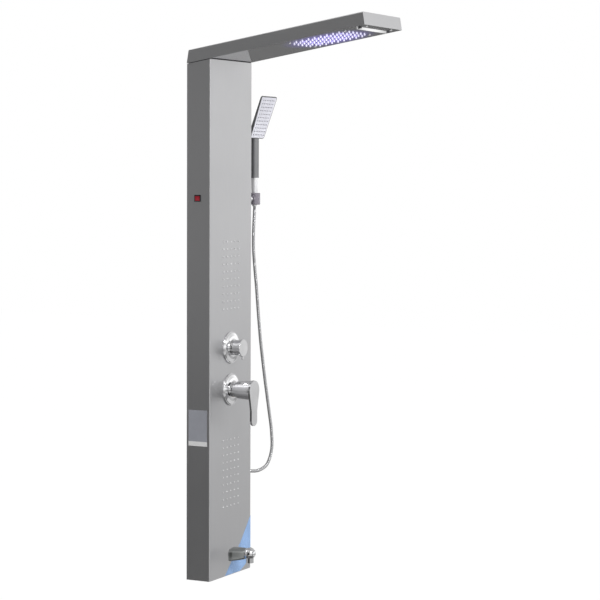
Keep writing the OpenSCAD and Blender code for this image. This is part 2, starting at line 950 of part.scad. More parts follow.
module mixer_carrier() {
    floor_z = pivot_reach - stem_w / 2 - gap;
    color("white")
        on_front(0, mixer_z)
            difference() {
                union() {
                    translate([0, 0, cartridge_front - carrier_pilot_l])
                        cylinder(r = carrier_pilot_r, h = carrier_pilot_l + 2 * run);
                    translate([0, 0, cartridge_front + run])
                        cylinder(r = carrier_r, h = floor_z - cartridge_front - run);
                    for (side = [-1, 1])
                        translate([side * (stem_w + 2 * gap + ear_w) / 2, 0, pivot_reach])
                            cube([ear_w, 2 * ear_reach, 2 * ear_reach], center = true);
                }
                translate([-carrier_r, 0, pivot_reach])
                    rotate([0, 90, 0])
                        cylinder(r = pin_r, h = 2 * carrier_r);
            }
}

module mixer_pin() {
    length = stem_w + 2 * gap + 2 * ear_w;
    color("silver")
        on_front(0, mixer_z)
            translate([-length / 2, 0, pivot_reach])
                rotate([0, 90, 0])
                    cylinder(r = pin_r, h = length);
}

// Lever: a hollow cap round the dome, whose front disc runs down into a flat paddle
cap_rim_r = 20.7;
cap_front_r = 23.5;
cap_rim_wall = 1.4;
cap_front_wall = 2.4;
cap_reach = 37;
lever_hub_r = 8;
lever_hub_l = 17;
lever_screw_r = 2.5;
lever_screw_back = 9;
lever_screw_l = 13;

module stem_bar(w, from, to) {
    translate([-w / 2, -w / 2, from])
        cube([w, w, to - from]);
}

// The lever is drawn with the pivot as its origin
module at_pivot() {
    on_front(0, mixer_z)
        translate([0, 0, pivot_reach])
            children();
}

// Outline of the paddle: straight sides that meet the front disc on its tangents, and a round tip
module paddle_outline() {
    half = paddle_w / 2;
    shoulder = 2 * cap_front_r;
    reach = sqrt(shoulder * shoulder + half * half);
    lean = acos(cap_front_r / reach) - atan(shoulder / half);
    circle(cap_front_r);
    polygon([
        [-half, -paddle_l + half],
        [half, -paddle_l + half],
        [half, -shoulder],
        [cap_front_r * cos(lean), cap_front_r * sin(lean)],
        [-cap_front_r * cos(lean), cap_front_r * sin(lean)],
        [-half, -shoulder]
    ]);
    translate([0, -paddle_l + half])
        circle(half);
}

module mixer_lever() {
    color("lightgray")
        at_pivot()
            difference() {
                union() {
                    difference() {
                        cylinder(r1 = cap_rim_r, r2 = cap_front_r, h = cap_reach + paddle_t / 2);
                        translate([0, 0, -cut])
                            cylinder(r = cap_rim_r - cap_rim_wall, h = cap_reach - cap_front_wall + cut);
                    }
                    translate([0, 0, cap_reach - lever_hub_l])
                        cylinder(r = lever_hub_r, h = lever_hub_l);
                    translate([0, 0, handle_reach - paddle_t])
                        linear_extrude(paddle_t)
                            paddle_outline();
                }
                stem_bar(stem_w + 2 * run, cap_reach - lever_hub_l - cut, cap_reach - cap_front_wall);
                lever_screw_place()
                    cylinder(r = lever_screw_r + run, h = 2 * cap_front_r);
            }
}

module mixer_stem() {
    color("goldenrod")
        at_pivot()
            difference() {
                union() {
                    stem_bar(stem_w, 0, cap_reach - cap_front_wall - gap);
                    translate([-stem_w / 2, 0, 0])
                        rotate([0, 90, 0])
                            cylinder(r = stem_w / 2, h = stem_w);
                }
                translate([-stem_w, 0, 0])
                    rotate([0, 90, 0])
                        cylinder(r = pin_r + run, h = 2 * stem_w);
            }
}

// The grub screw comes in from below, through the cap and its hub, onto the stem
module lever_screw_place() {
    translate([0, -stem_w / 2, cap_reach - lever_screw_back])
        rotate([90, 0, 0])
            children();
}

module lever_screw() {
    color("black")
        at_pivot()
            lever_screw_place()
                cylinder(r = lever_screw_r, h = lever_screw_l);
}

// Bath spout: a flat cast body that narrows from the column to a round end
spout_low = 13;
spout_crease = 10;
spout_crest = 17;
spout_end_low = 8;
spout_end_half = 12.5;
spout_body_l = 43;
spout_corner = 4;
spout_slice = 0.5;
spout_tail_l = panel_d - tube_d - tube_bend;
spout_bore_r = 5;
aerator_r = 9;
aerator_low = 17;
aerator_seat = 8;
aerator_wall = 2;
aerator_hole_r = 1.3;
aerator_recess = 4.5;
crown_steps = 12;

// Height of the crown at a share of the half width, from crease to crest
function crown(share) = spout_crest - (spout_crest - spout_crease) * share * share;

module spout_section(half, low) {
    polygon(concat(
        [
            [-half, -low + spout_corner],
            [-half + spout_corner, -low],
            [half - spout_corner, -low],
            [half, -low + spout_corner]
        ],
        [for (i = [0 : crown_steps]) let (share = 1 - 2 * i / crown_steps) [half * share, crown(share)]]
    ));
}

module spout_body() {
    color("dimgray")
        on_front(0, spout_z)
            difference() {
                union() {
                    hull() {
                        linear_extrude(spout_slice)
                            spout_section(spout_root_w / 2, spout_low);
                        translate([0, 0, spout_body_l - spout_slice])
                            linear_extrude(spout_slice)
                                spout_section(spout_end_half, spout_end_low);
                    }
                    translate([0, 0, -spout_tail_l])
                        cylinder(r = spout_tail_r, h = spout_tail_l + cut);
                }
                translate([0, 0, -spout_tail_l - cut])
                    cylinder(r = spout_bore_r, h = spout_tail_l + spout_reach);
                translate([0, spout_end_rise, spout_reach])
                    rotate([90, 0, 0])
                        sphere(r = spout_end_r + run);
            }
}

// The round end: a ball with a ring turned into its front and a seat for the outlet
spout_end_rise = 5;
end_ring_r = 8.5;
end_ring_w = 1.2;

module spout_end() {
    ring_out = sqrt(spout_end_r * spout_end_r - end_ring_r * end_ring_r) - end_ring_w / 2;
    under = spout_end_r + cut;
    color("lightgray")
        on_front(0, spout_z)
            difference() {
                translate([0, spout_end_rise, spout_reach])
                    rotate([-90, 0, 0])
                        rotate_extrude()
                            difference() {
                                circle(spout_end_r);
                                translate([-under, -under])
                                    square([under, 2 * under]);
                                translate([-cut, -under])
                                    square([aerator_r + cut, under - aerator_seat]);
                                translate([-cut, -under])
                                    square([aerator_r - aerator_wall + cut, under]);
                            }
                translate([0, 0, spout_reach - under])
                    cylinder(r = spout_bore_r, h = under);
                translate([0, spout_end_rise, spout_reach + ring_out])
                    ring(end_ring_r, end_ring_r - end_ring_w, spout_end_r);
            }
}

module spout_aerator() {
    length = aerator_low - aerator_seat + spout_end_rise;
    color("silver")
        on_front(0, spout_z)
            translate([0, -aerator_low, spout_reach])
                rotate([-90, 0, 0])
                    difference() {
                        cylinder(r = aerator_r, h = length);
                        translate([0, 0, -cut])
                            cylinder(r = aerator_r - aerator_wall, h = aerator_recess + cut);
                        for (angle = [0 : 60 : 300])
                            rotate([0, 0, angle])
                                translate([aerator_r / 2, 0, 0])
                                    bore(aerator_hole_r, 0, length);
                        bore(aerator_hole_r, 0, length);
                    }
}

big_nut_r = 15;
big_nut_t = 5;

module spout_nut() {
    color("goldenrod")
        on_front(0, spout_z)
            translate([0, 0, -sheet_t - big_nut_t])
                hex_nut(big_nut_r, spout_tail_r + run, big_nut_t);
}

// Light switch on the left side; X points up and Z out of the panel
bezel_h = 15.4;
bezel_w = 16;
bezel_t = 1.6;
switch_wall = 0.8;
switch_depth = 14;
rocker_gap = 0.3;
rocker_l = 10.6;
rocker_tilt = 8;
rocker_pivot = -0.8;
rocker_mid = 2.6;
rocker_edge = 2.4;
rocker_foot_w = 4;
rocker_foot = 4;
rocker_pin_r = 1;
rocker_pin_l = 0.6;
rocker_w = switch_w - 2 * switch_wall - 2 * rocker_gap;

module switch_housing() {
    color("black")
        on_left(switch_d, switch_z)
            difference() {
                union() {
                    translate([-bezel_h / 2, -bezel_w / 2, 0])
                        cube([bezel_h, bezel_w, bezel_t]);
                    translate([-switch_h / 2, -switch_w / 2, -switch_depth])
                        cube([switch_h, switch_w, switch_depth + bezel_t / 2]);
                }
                translate([switch_wall - switch_h / 2, switch_wall - switch_w / 2, bezel_t - switch_depth])
                    cube([switch_h - 2 * switch_wall, switch_w - 2 * switch_wall, switch_depth + cut]);
                translate([0, 0, rocker_pivot])
                    rotate([90, 0, 0])
                        cylinder(r = rocker_pin_r + run, h = rocker_w + 4 * rocker_gap, center = true);
            }
}

module switch_rocker() {
    half = rocker_l / 2;
    end_z = rocker_mid + half * tan(rocker_tilt);
    color("red")
        on_left(switch_d, switch_z)
            translate([0, 0, rocker_pivot])
                rotate([90, 0, 0])
                    rotate([0, 0, rocker_tilt]) {
                        linear_extrude(rocker_w, center = true)
                            polygon([
                                [-half, end_z - rocker_edge],
                                [-half, end_z],
                                [0, rocker_mid],
                                [half, end_z],
                                [half, end_z - rocker_edge],
                                [rocker_foot_w / 2, -rocker_foot],
                                [-rocker_foot_w / 2, -rocker_foot]
                            ]);
                        cylinder(r = rocker_pin_r, h = rocker_w + 2 * rocker_pin_l, center = true);
                    }
}

// Light supply: a closed box on the column's inner face, with its leads
driver_w = 34;
driver_d = 40;
driver_h = 50;
driver_x = -84;
driver_z = 815;
wire_r = 1.5;
wire_bend = 8;
wire_pitch = 8;

module led_driver() {
    color("black")
        translate([driver_x, -inner_front, driver_z]) {
            cube([driver_w, driver_d, driver_h]);
            for (x = [0, driver_w - ear_w])
                translate([x, 0, -ear_r])
                    cube([ear_w, ear_w, driver_h + 2 * ear_r]);
        }
}

// The lead to the rain head, and the two wires from the switch
module led_cable() {
    turn_z = arm_turn_z(cable_z, cable_d, cable_bend);
    top = driver_z + driver_h;
    color("black") {
        translate([cable_x, -cable_d, top])
            tube_run([
                [turn_z - top, arm_turn, -90],
                [plug_s - arm_turn_s(cable_z, cable_d, cable_bend), 0, 0]
            ], cable_r, wire_core_r, cable_bend);
        for (y = [-wire_pitch / 2, wire_pitch / 2])
            translate([-half_w + switch_depth, -switch_d - wire_shift + y, switch_z])
                rotate([0, 90, 0])
                    tube_run([
                        [wire_lead, 90, 0],
                        [switch_z - wire_bend - top, 0, 0]
                    ], wire_r, wire_r / 2, wire_bend);
    }
}

wire_lead = 4;
wire_shift = 1;
wire_core_r = 1;
cable_d = 42;
cable_bend = 12;
cable_z = rain_box_high + board_t + plug_size.z / 2;
plug_s = rain_s - rain_box_l / 2 + board_inset;

// Where a tube that climbs at a depth d from the wall turns into the arm and runs at a height h in it
arm_turn = 90 - arm_tilt;
function turn_out(bend_r) = bend_r * (1 - cos(arm_turn));
function arm_turn_z(h, d, bend_r) =
    seam_z + (h - (panel_d - d - turn_out(bend_r)) * sin(arm_tilt)) / cos(arm_tilt) - bend_r * sin(arm_turn);
function arm_turn_s(h, d, bend_r) =
    (arm_turn_z(h, d, bend_r) + bend_r * sin(arm_turn) - seam_z) * sin(arm_tilt)
        - (panel_d - d - turn_out(bend_r)) * cos(arm_tilt);

port_top = diverter_z + port_l;
port_bottom = diverter_z - port_l;
lane_x = 82;
lane_bend = 45;
lane_lead = 40;
rain_stub_s = rain_s - rain_box_l / 2 - rain_stub_l;
chute_stub_s = -slot_rear - chute_back - rain_stub_l;

module feed_pipe() {
    low = mixer_z + mixer_port_l;
    color("steelblue")
        translate([0, -panel_d + feed_d, low])
            ring(tube_r, tube_bore, port_bottom - low);
}

module rain_pipe() {
    color("steelblue")
        translate([-port_x, -tube_d, port_top])
            tube_run([
                [arm_turn_z(arm_tube_z, tube_d, tube_bend) - port_top, arm_turn, -90],
                [rain_stub_s - arm_turn_s(arm_tube_z, tube_d, tube_bend), 0, 0]
            ]);
}

module waterfall_pipe() {
    across = lane_x - port_x - 2 * tube_bend * (1 - cos(lane_bend));
    slant = across / sin(lane_bend);
    along = slant * cos(lane_bend) + 2 * tube_bend * sin(lane_bend);
    color("steelblue")
        translate([port_x, -tube_d, port_top])
            tube_run([
                [arm_turn_z(arm_tube_z, tube_d, tube_bend) - port_top, arm_turn, -90],
                [lane_lead, lane_bend, 0],
                [slant, lane_bend, 180],
                [chute_stub_s - arm_turn_s(arm_tube_z, tube_d, tube_bend) - lane_lead - along, 0, 0]
            ]);
}

module jet_pipes() {
    color("steelblue") {
        translate([0, -tube_d, port_top])
            tube_run([[jet_upper_z - port_top - tube_bend, 90, -90]]);
        translate([-port_x, -tube_d, port_bottom])
            rotate([180, 0, 0])
                tube_run([[port_bottom - jet_lower_z - tube_bend, 90, 90]]);
    }
}

module spout_pipe() {
    color("steelblue")
        translate([0, -tube_d, port_bottom])
            rotate([180, 0, 0])
                tube_run([[port_bottom - spout_z - tube_bend, 90, 90]]);
}

module handset_pipe() {
    color("steelblue")
        translate([port_x, -tube_d, port_bottom])
            rotate([180, 0, 0])
                tube_run([
                    [port_bottom - outlet_z - tube_bend, 90, 0],
                    [inner_half - outlet_tail_l - port_x - tube_bend, 0, 0]
                ]);
}

// Hose outlet on the right side, with the nut that holds the hose to it
outlet_tail_l = 8;
rosette_r = 14;
rosette_t = 3;
rosette_edge = 1;
nipple_r = 9.8;
nipple_l = 10;
hose_nut_r = 11.8;
hose_nut_low = 4;
hose_nut_l = 14;
hose_nut_taper = 4;
hose_nut_tip_r = 5.2;
hose_bore_r = 2.5;

module side_rosette() {
    cylinder(r = rosette_r, h = rosette_t - rosette_edge);
    translate([0, 0, rosette_t - rosette_edge])
        cylinder(r1 = rosette_r, r2 = rosette_r - rosette_edge, h = rosette_edge);
}

module hose_outlet() {
    color("lightgray")
        on_right(tube_d, outlet_z)
            difference() {
                union() {
                    side_rosette();
                    translate([0, 0, -sheet_t - outlet_tail_l])
                        cylinder(r = outlet_tail_r, h = sheet_t + outlet_tail_l + cut);
                    cylinder(r = nipple_r, h = rosette_t + nipple_l);
                }
                bore(tube_bore, -sheet_t - outlet_tail_l, rosette_t + nipple_l);
            }
}

module hose_nut_lower() {
    color("silver")
        on_right(tube_d, outlet_z)
            translate([0, 0, hose_nut_low])
                difference() {
                    union() {
                        cylinder(r = hose_nut_r, h = hose_nut_l);
                        translate([0, 0, hose_nut_l])
                            cylinder(r1 = hose_nut_r, r2 = hose_nut_tip_r, h = hose_nut_taper);
                    }
                    translate([0, 0, -cut])
                        cylinder(r = nipple_r + run, h = rosette_t + nipple_l - hose_nut_low + gap + cut);
                    cylinder(r = hose_bore_r, h = hose_nut_l + hose_nut_taper + cut);
                }
}

// Nuts inside the right side, of the outlet and of the handset holder
post_nut_r = 7;
post_nut_t = 4;

module side_nuts() {
    color("silver") {
        on_right(tube_d, outlet_z)
            translate([0, 0, -sheet_t - big_nut_t])
                hex_nut(big_nut_r, outlet_tail_r + run, big_nut_t);
        on_right(cradle_d, cradle_z)
            translate([0, 0, -sheet_t - post_nut_t])
                hex_nut(post_nut_r, post_screw_r + run, post_nut_t);
    }
}

// Route of the hose, from the outlet's nut up to the handset, with a lead point before and after
hose_route = [
    [110, -24, 228], [126, -24, 228], [156, -31, 224], [192, -35.5, 222], [231, -37.5, 233],
    [251, -39, 268], [247.5, -40, 312], [235, -40.5, 358], [221, -41.5, 402], [208, -42, 446],
    [195, -43, 491], [182.5, -44, 536], [173, -44.5, 582], [164.5, -45, 628], [155.5, -46, 674],
    [146, -46.5, 720], [138.5, -47, 766], [138, -47.5, 812], [142, -47.5, 858], [142, -47.5, 900]
];
hose_start = [122, -24, 228];
hose_end = [142, -47.5, 866];
hose_spans = len(hose_route) - 3;
span_ribs = 11;
hose_sides = 8;
hose_groove = 0.5;
bore_steps = 3;

// A smooth curve through the route's points: i is the span and t the share of it
function route_at(i, t) =
    let (a = hose_route[i], b = hose_route[i + 1], c = hose_route[i + 2], d = hose_route[i + 3])
        (2 * b + (c - a) * t + (2 * a - 5 * b + 4 * c - d) * t * t + (3 * b - a - 3 * c + d) * t * t * t) / 2;
function route_slope(i, t) =
    let (a = hose_route[i], b = hose_route[i + 1], c = hose_route[i + 2], d = hose_route[i + 3])
        ((c - a) + 2 * (2 * a - 5 * b + 4 * c - d) * t + 3 * (3 * b - a - 3 * c + d) * t * t) / 2;
function unit(v) = v / norm(v);

// Rings are [middle, direction, radius]
groove_r = hose_d / 2 - hose_groove;
outer_rings = [
    [hose_start, [1, 0, 0], groove_r],
    for (i = [0 : hose_spans - 1], k = [0 : 2 * span_ribs - 1])
        let (t = k / (2 * span_ribs))
            [route_at(i, t), unit(route_slope(i, t)), k % 2 == 0 ? groove_r : hose_d / 2],
    [hose_route[hose_spans + 1], [0, 0, 1], groove_r],
    [hose_end, [0, 0, 1], groove_r]
];
bore_rings = [
    [hose_start, [1, 0, 0], hose_bore_r],
    for (i = [0 : hose_spans - 1], k = [0 : bore_steps - 1])
        let (t = k / bore_steps)
            [route_at(i, t), unit(route_slope(i, t)), hose_bore_r],
    [hose_route[hose_spans + 1], [0, 0, 1], hose_bore_r],
    [hose_end, [0, 0, 1], hose_bore_r]
];

function ring_points(item) =
    let (side = unit(cross(item[1], [0, 1, 0])), up = cross(side, item[1]))
        [for (k = [0 : hose_sides - 1])
            let (angle = 360 * (k + 0.5) / hose_sides)
                item[0] + item[2] * (cos(angle) * side + sin(angle) * up)];

// Triangles between ring a and ring b, turned over on the bore
function band(a, b, flip) = [
    for (k = [0 : hose_sides - 1])
        let (n = (k + 1) % hose_sides)
            each flip ? [[a + k, b + k, b + n], [a + k, b + n, a + n]]
                : [[a + k, b + n, b + k], [a + k, a + n, b + n]]
];

module hose() {
    outer_n = len(outer_rings);
    inner_n = len(bore_rings);
    first_in = outer_n * hose_sides;
    last_out = first_in - hose_sides;
    last_in = first_in + (inner_n - 1) * hose_sides;
    color("silver")
        polyhedron(
            points = [
                for (item = outer_rings) each ring_points(item),
                for (item = bore_rings) each ring_points(item)
            ],
            faces = [
                for (i = [0 : outer_n - 2]) each band(i * hose_sides, (i + 1) * hose_sides, false),
                for (i = [0 : inner_n - 2])
                    each band(first_in + i * hose_sides, first_in + (i + 1) * hose_sides, true),
                each band(0, first_in, true),
                each band(last_out, last_in, false)
            ]
        );
}

// Handset holder: a rosette and post on the column's side, and a cradle that turns on the post
post_r = 7;
post_l = 24;
pivot_l = 8;
cradle_r = 13.5;
cradle_half_h = 14;
cradle_boss_r = 9;
cradle_edge = 1.2;
post_thread_l = 10;

module holder_base() {
    color("gray")
        on_right(cradle_d, cradle_z) {
            side_rosette();
            cylinder(r = post_r, h = post_l);
            translate([0, 0, -post_thread_l])
                cylinder(r = post_screw_r, h = post_thread_l + post_l + pivot_l);
        }
}

// Places about the handset's axis, with the cradle's pivot as the origin
module at_cradle() {
    translate([half_w + cradle_x, -cradle_d, cradle_z])
        children();
}

// The cone under the handset, from its tip to the handle, and the cradle's bore round it
cone_low = -18;
cone_tip_r = 5.6;
cone_seat_r = 7.4;
cone_high = 50;
cone_top_r = 8;
cone_collar_r = 8.8;
cone_collar_l = 4;
function cone_r(z) = cone_tip_r + (cone_seat_r - cone_tip_r) * (z - cone_low) / (cradle_half_h - cone_low);

module holder_cradle() {
    high = cradle_half_h;
    color("gray")
        at_cradle()
            difference() {
                union() {
                    chamfered(cradle_r, -high, high, cradle_edge);
                    translate([post_l + gap - cradle_x, 0, 0])
                        rotate([0, 90, 0])
                            cylinder(r = cradle_boss_r, h = cradle_x - post_l - cradle_r / 2);
                }
                rotate_extrude()
                    polygon([
                        [0, -high - cut], [cone_r(-high - cut) + gap, -high - cut],
                        [cone_r(high + cut) + gap, high + cut], [0, high + cut]
                    ]);
                translate([0, -hose_d / 2 - gap, -high - cut])
                    cube([cradle_r + cut, hose_d + 2 * gap, 2 * (high + cut)]);
                translate([post_l - cradle_x, 0, 0])
                    rotate([0, 90, 0])
                        cylinder(r = post_screw_r + run, h = pivot_l + gap);
            }
}

module handset_cone() {
    color("whitesmoke")
        at_cradle()
            rotate_extrude()
                polygon([
                    [hose_bore_r, cone_low], [cone_tip_r, cone_low], [cone_seat_r, cradle_half_h],
                    [cone_top_r, cone_high - cone_collar_l], [cone_collar_r, cone_high - cone_collar_l],
                    [cone_collar_r, cone_high], [hose_bore_r, cone_high]
                ]);
}

// Handset: a flat handle and a wide flat head that leans forward
handle_w = 25;
handle_t = 13;
handle_corner = 4;
handle_high = 146;
head_root_w = 68;
head_edge_t = 8;
head_front = 7;
head_dome = 4;
head_dome_inset = 14;
head_corner = 6;
head_wall = 2;
face_t = 2;
face_gap = 0.15;
spray_cols = 7;
spray_rows = 11;
spray_pitch_x = 8.4;
spray_pitch_z = 8.6;
spray_r = 1.3;
spray_proud = 1.4;
spray_mat_t = 1.5;
spray_places = [
    for (i = [0 : spray_cols - 1], j = [0 : spray_rows - 1])
        [(i - (spray_cols - 1) / 2) * spray_pitch_x, (j - (spray_rows - 1) / 2) * spray_pitch_z + head_l / 2]
];

// The head's own frame: X across, Y up along the head and Z out of its spray face
module in_head() {
    at_cradle()
        translate([0, 0, handle_high])
            rotate([90 + head_lean, 0, 0])
                children();
}

// Outline of the head, drawn in by an inset, with round corners
module head_outline(inset) {
    low = head_root_w / 2 - head_corner;
    high = head_w / 2 - head_corner;
    hull() {
        for (side = [-1, 1]) {
            translate([side * low, head_corner])
                circle(head_corner - inset, $fn = 24);
            translate([side * high, head_l - head_corner])
                circle(head_corner - inset, $fn = 24);
        }
    }
}

module handset_shell() {
    back = head_front - head_edge_t;
    dome_scale = 1 - head_dome_inset / head_l;
    color("dimgray")
        in_head()
            difference() {
                hull() {
                    translate([0, 0, back])
                        linear_extrude(head_edge_t)
                            head_outline(0);
                    translate([0, head_l * (1 - dome_scale) / 2, back - head_dome])
                        linear_extrude(head_dome)
                            scale(dome_scale)
                                head_outline(0);
                }
                translate([0, 0, head_front - face_t - spray_mat_t])
                    linear_extrude(face_t + spray_mat_t + cut)
                        head_outline(head_wall);
            }
}

module handset_face() {
    color("white")
        in_head()
            difference() {
                translate([0, 0, head_front - face_t])
                    linear_extrude(face_t)
                        head_outline(head_wall + face_gap);
                at_places(spray_places, head_front)
                    bore(spray_r + face_gap, -face_t, 0);
            }
}

module handset_nozzles() {
    color("slategray")
        in_head() {
            translate([0, 0, head_front - face_t - spray_mat_t])
                linear_extrude(spray_mat_t)
                    head_outline(head_wall + face_gap);
            at_places(spray_places, head_front - face_t - spray_mat_t / 2)
                cylinder(r1 = spray_r, r2 = spray_r * nozzle_taper_share,
                    h = spray_mat_t / 2 + face_t + spray_proud);
        }
}

module handset_handle() {
    color("dimgray")
        difference() {
            at_cradle()
                translate([0, 0, cone_high])
                    difference() {
                        linear_extrude(handle_high - cone_high + handle_t)
                            round_rect(handle_w, handle_t, handle_corner);
                        bore(hose_bore_r, 0, handle_high - cone_high - handle_t);
                    }
            in_head()
                translate([-head_w, 0, -head_w])
                    cube([2 * head_w, head_l, 2 * head_w]);
        }
}

// Wall brackets and the bars that hang on them
bar_drop = 56.5;
bar_rise = 100;
bar_high = [seam_z - bar_drop, bar_rise];
bar_h = 24;
bar_t = 2;
bracket_w = 140;
bracket_t = 1.5;
bracket_h = 30;
hook_h = 12;
hook_hole_r = 2.75;
hook_hole_x = 50;
hook_hole_drop = 15;

module hanger_bars() {
    color("silver")
        for (z = bar_high)
            translate([fold_in - inner_half, -sheet_t - bar_t, z])
                cube([2 * (inner_half - fold_in), bar_t, bar_h]);
}

module wall_brackets() {
    shelf_d = sheet_t + bar_t + gap + bracket_t;
    color("gray")
        for (z = bar_high)
            difference() {
                union() {
                    translate([-bracket_w / 2, -bracket_t, z - bracket_h])
                        cube([bracket_w, bracket_t, bracket_h]);
                    translate([-bracket_w / 2, -shelf_d, z - bracket_t])
                        cube([bracket_w, shelf_d, bracket_t]);
                    translate([-bracket_w / 2, -shelf_d, z - bracket_t])
                        cube([bracket_w, bracket_t, bracket_t + hook_h]);
                }
                for (x = [-hook_hole_x, hook_hole_x])
                    translate([x, 0, z - hook_hole_drop])
                        rotate([90, 0, 0])
                            bore(hook_hole_r, 0, bracket_t);
            }
}

column_shell();
bottom_plate();
arm_shell();
arm_underside();
arm_coupling();
wall_brackets();
hanger_bars();
rain_nozzles();
rain_chamber();
led_lenses();
led_board();
waterfall_chute();
head_screws();
jet_nozzles_upper();
jet_nozzles_lower();
jet_chamber_upper();
jet_chamber_lower();
chamber_studs();
chamber_nuts();
diverter_valve();
diverter_flange();
diverter_nut();
diverter_spindle();
diverter_knob();
diverter_peg();
mixer_valve();
mixer_flange();
mixer_neck();
mixer_cartridge();
mixer_carrier();
mixer_pin();
mixer_lever();
mixer_stem();
lever_screw();
spout_body();
spout_end();
spout_aerator();
spout_nut();
switch_housing();
switch_rocker();
led_driver();
led_cable();
feed_pipe();
rain_pipe();
waterfall_pipe();
jet_pipes();
spout_pipe();
handset_pipe();
hose_outlet();
side_nuts();
hose_nut_lower();
hose();
holder_base();
holder_cradle();
handset_shell();
handset_face();
handset_nozzles();
handset_handle();
handset_cone();
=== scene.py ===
"""Looks of a wall-hung shower panel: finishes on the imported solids, hose, film, label, studio and camera."""

import math

import bmesh
import bpy
from bpy.props import FloatProperty, FloatVectorProperty, IntProperty, PointerProperty
from mathutils import Matrix, Vector


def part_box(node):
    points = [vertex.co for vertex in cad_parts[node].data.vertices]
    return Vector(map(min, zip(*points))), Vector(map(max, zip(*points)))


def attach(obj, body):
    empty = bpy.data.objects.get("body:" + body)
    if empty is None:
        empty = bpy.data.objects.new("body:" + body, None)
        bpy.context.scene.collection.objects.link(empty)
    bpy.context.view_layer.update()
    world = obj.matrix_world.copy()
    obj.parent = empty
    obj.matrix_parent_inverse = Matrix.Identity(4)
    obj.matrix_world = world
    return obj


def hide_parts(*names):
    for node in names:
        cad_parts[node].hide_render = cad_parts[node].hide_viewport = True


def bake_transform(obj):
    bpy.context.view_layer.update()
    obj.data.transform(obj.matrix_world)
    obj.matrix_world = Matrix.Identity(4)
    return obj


bl_info = {
    "name": "Shower panel looks",
    "version": (1, 0, 0),
    "blender": (4, 5, 0),
    "location": "View3D > Sidebar > Shower panel",
    "description": "Dresses a packed shower panel with its finishes, hose, film and studio",
    "category": "Object",
}

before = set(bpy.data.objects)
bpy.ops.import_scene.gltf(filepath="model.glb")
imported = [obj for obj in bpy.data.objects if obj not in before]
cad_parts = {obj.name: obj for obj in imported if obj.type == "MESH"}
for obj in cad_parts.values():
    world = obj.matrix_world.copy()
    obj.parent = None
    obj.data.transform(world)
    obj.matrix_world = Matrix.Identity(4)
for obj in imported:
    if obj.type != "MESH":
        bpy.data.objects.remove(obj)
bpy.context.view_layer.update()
MM = 0.001

# The arm's own frame: it starts at the column's front face and leans up
ARM_TILT = math.radians(9.5)
ARM_FOOT = Vector((0.0, -0.062, 1.20647))
# Distances along the arm to the middle of the rain head and to the waterfall's lip, in metres
RAIN_REACH = 0.257
SLOT_REACH = 0.3622
# How strongly each lit piece shines, and how far its pool of light reaches in metres
PLATE_GLOW, PLATE_POOL = 0.55, (0.125, 0.115, 0.20)
TIP_GLOW, TIP_POOL = 0.8, (0.16, 0.16, 0.25)
LIP_GLOW, LIP_POOL = 0.95, (0.14, 0.0065, 0.2)
GUIDE_GLOW = 0.35
# Painted light: the handset's spray face is no lamp, and this faint glow lifts its tone
FACE_PAINTED_GLOW = 0.1

# The front face and the bath spout, in millimetres
FRONT_Y = -62.0
SPOUT_Z = 50.0
SPOUT_LENGTH = 43.0
COLLAR_R = 11.5
COLLAR_LENGTH = 11.5
BALL_R = 13.9
BALL_REACH = 52.0
BALL_RISE = 5.0

# The foot of the handset's head on the handset's axis, in millimetres, and the lean of the head in degrees
HEAD_FOOT = (142.0, -47.5, 1030.0)
HEAD_LEAN = 19

# Route of the hose in millimetres, with a lead point before and after
HOSE_ROUTE = [
    (110, -24, 228), (126, -24, 228), (156, -31, 224), (192, -35.5, 222), (231, -37.5, 233),
    (251, -39, 268), (247.5, -40, 312), (235, -40.5, 358), (221, -41.5, 402), (208, -42, 446),
    (195, -43, 491), (182.5, -44, 536), (173, -44.5, 582), (164.5, -45, 628), (155.5, -46, 674),
    (146, -46.5, 720), (138.5, -47, 766), (138, -47.5, 812), (142, -47.5, 858), (142, -47.5, 900),
]
HOSE_START = (122, -24, 228)
HOSE_END = (142, -47.5, 866)
HOSE_BORE_R = 0.0025

# Fine relief of every finish in metres, and how much finer its gloss varies than its tone
BUMP_DEPTH = 0.0004
GLOSS_MOTTLE_RATIO = 1.7


def colour_property(name, description, default):
    return FloatVectorProperty(
        name=name, description=description, default=default, size=4, min=0.0, max=1.0, subtype="COLOR"
    )


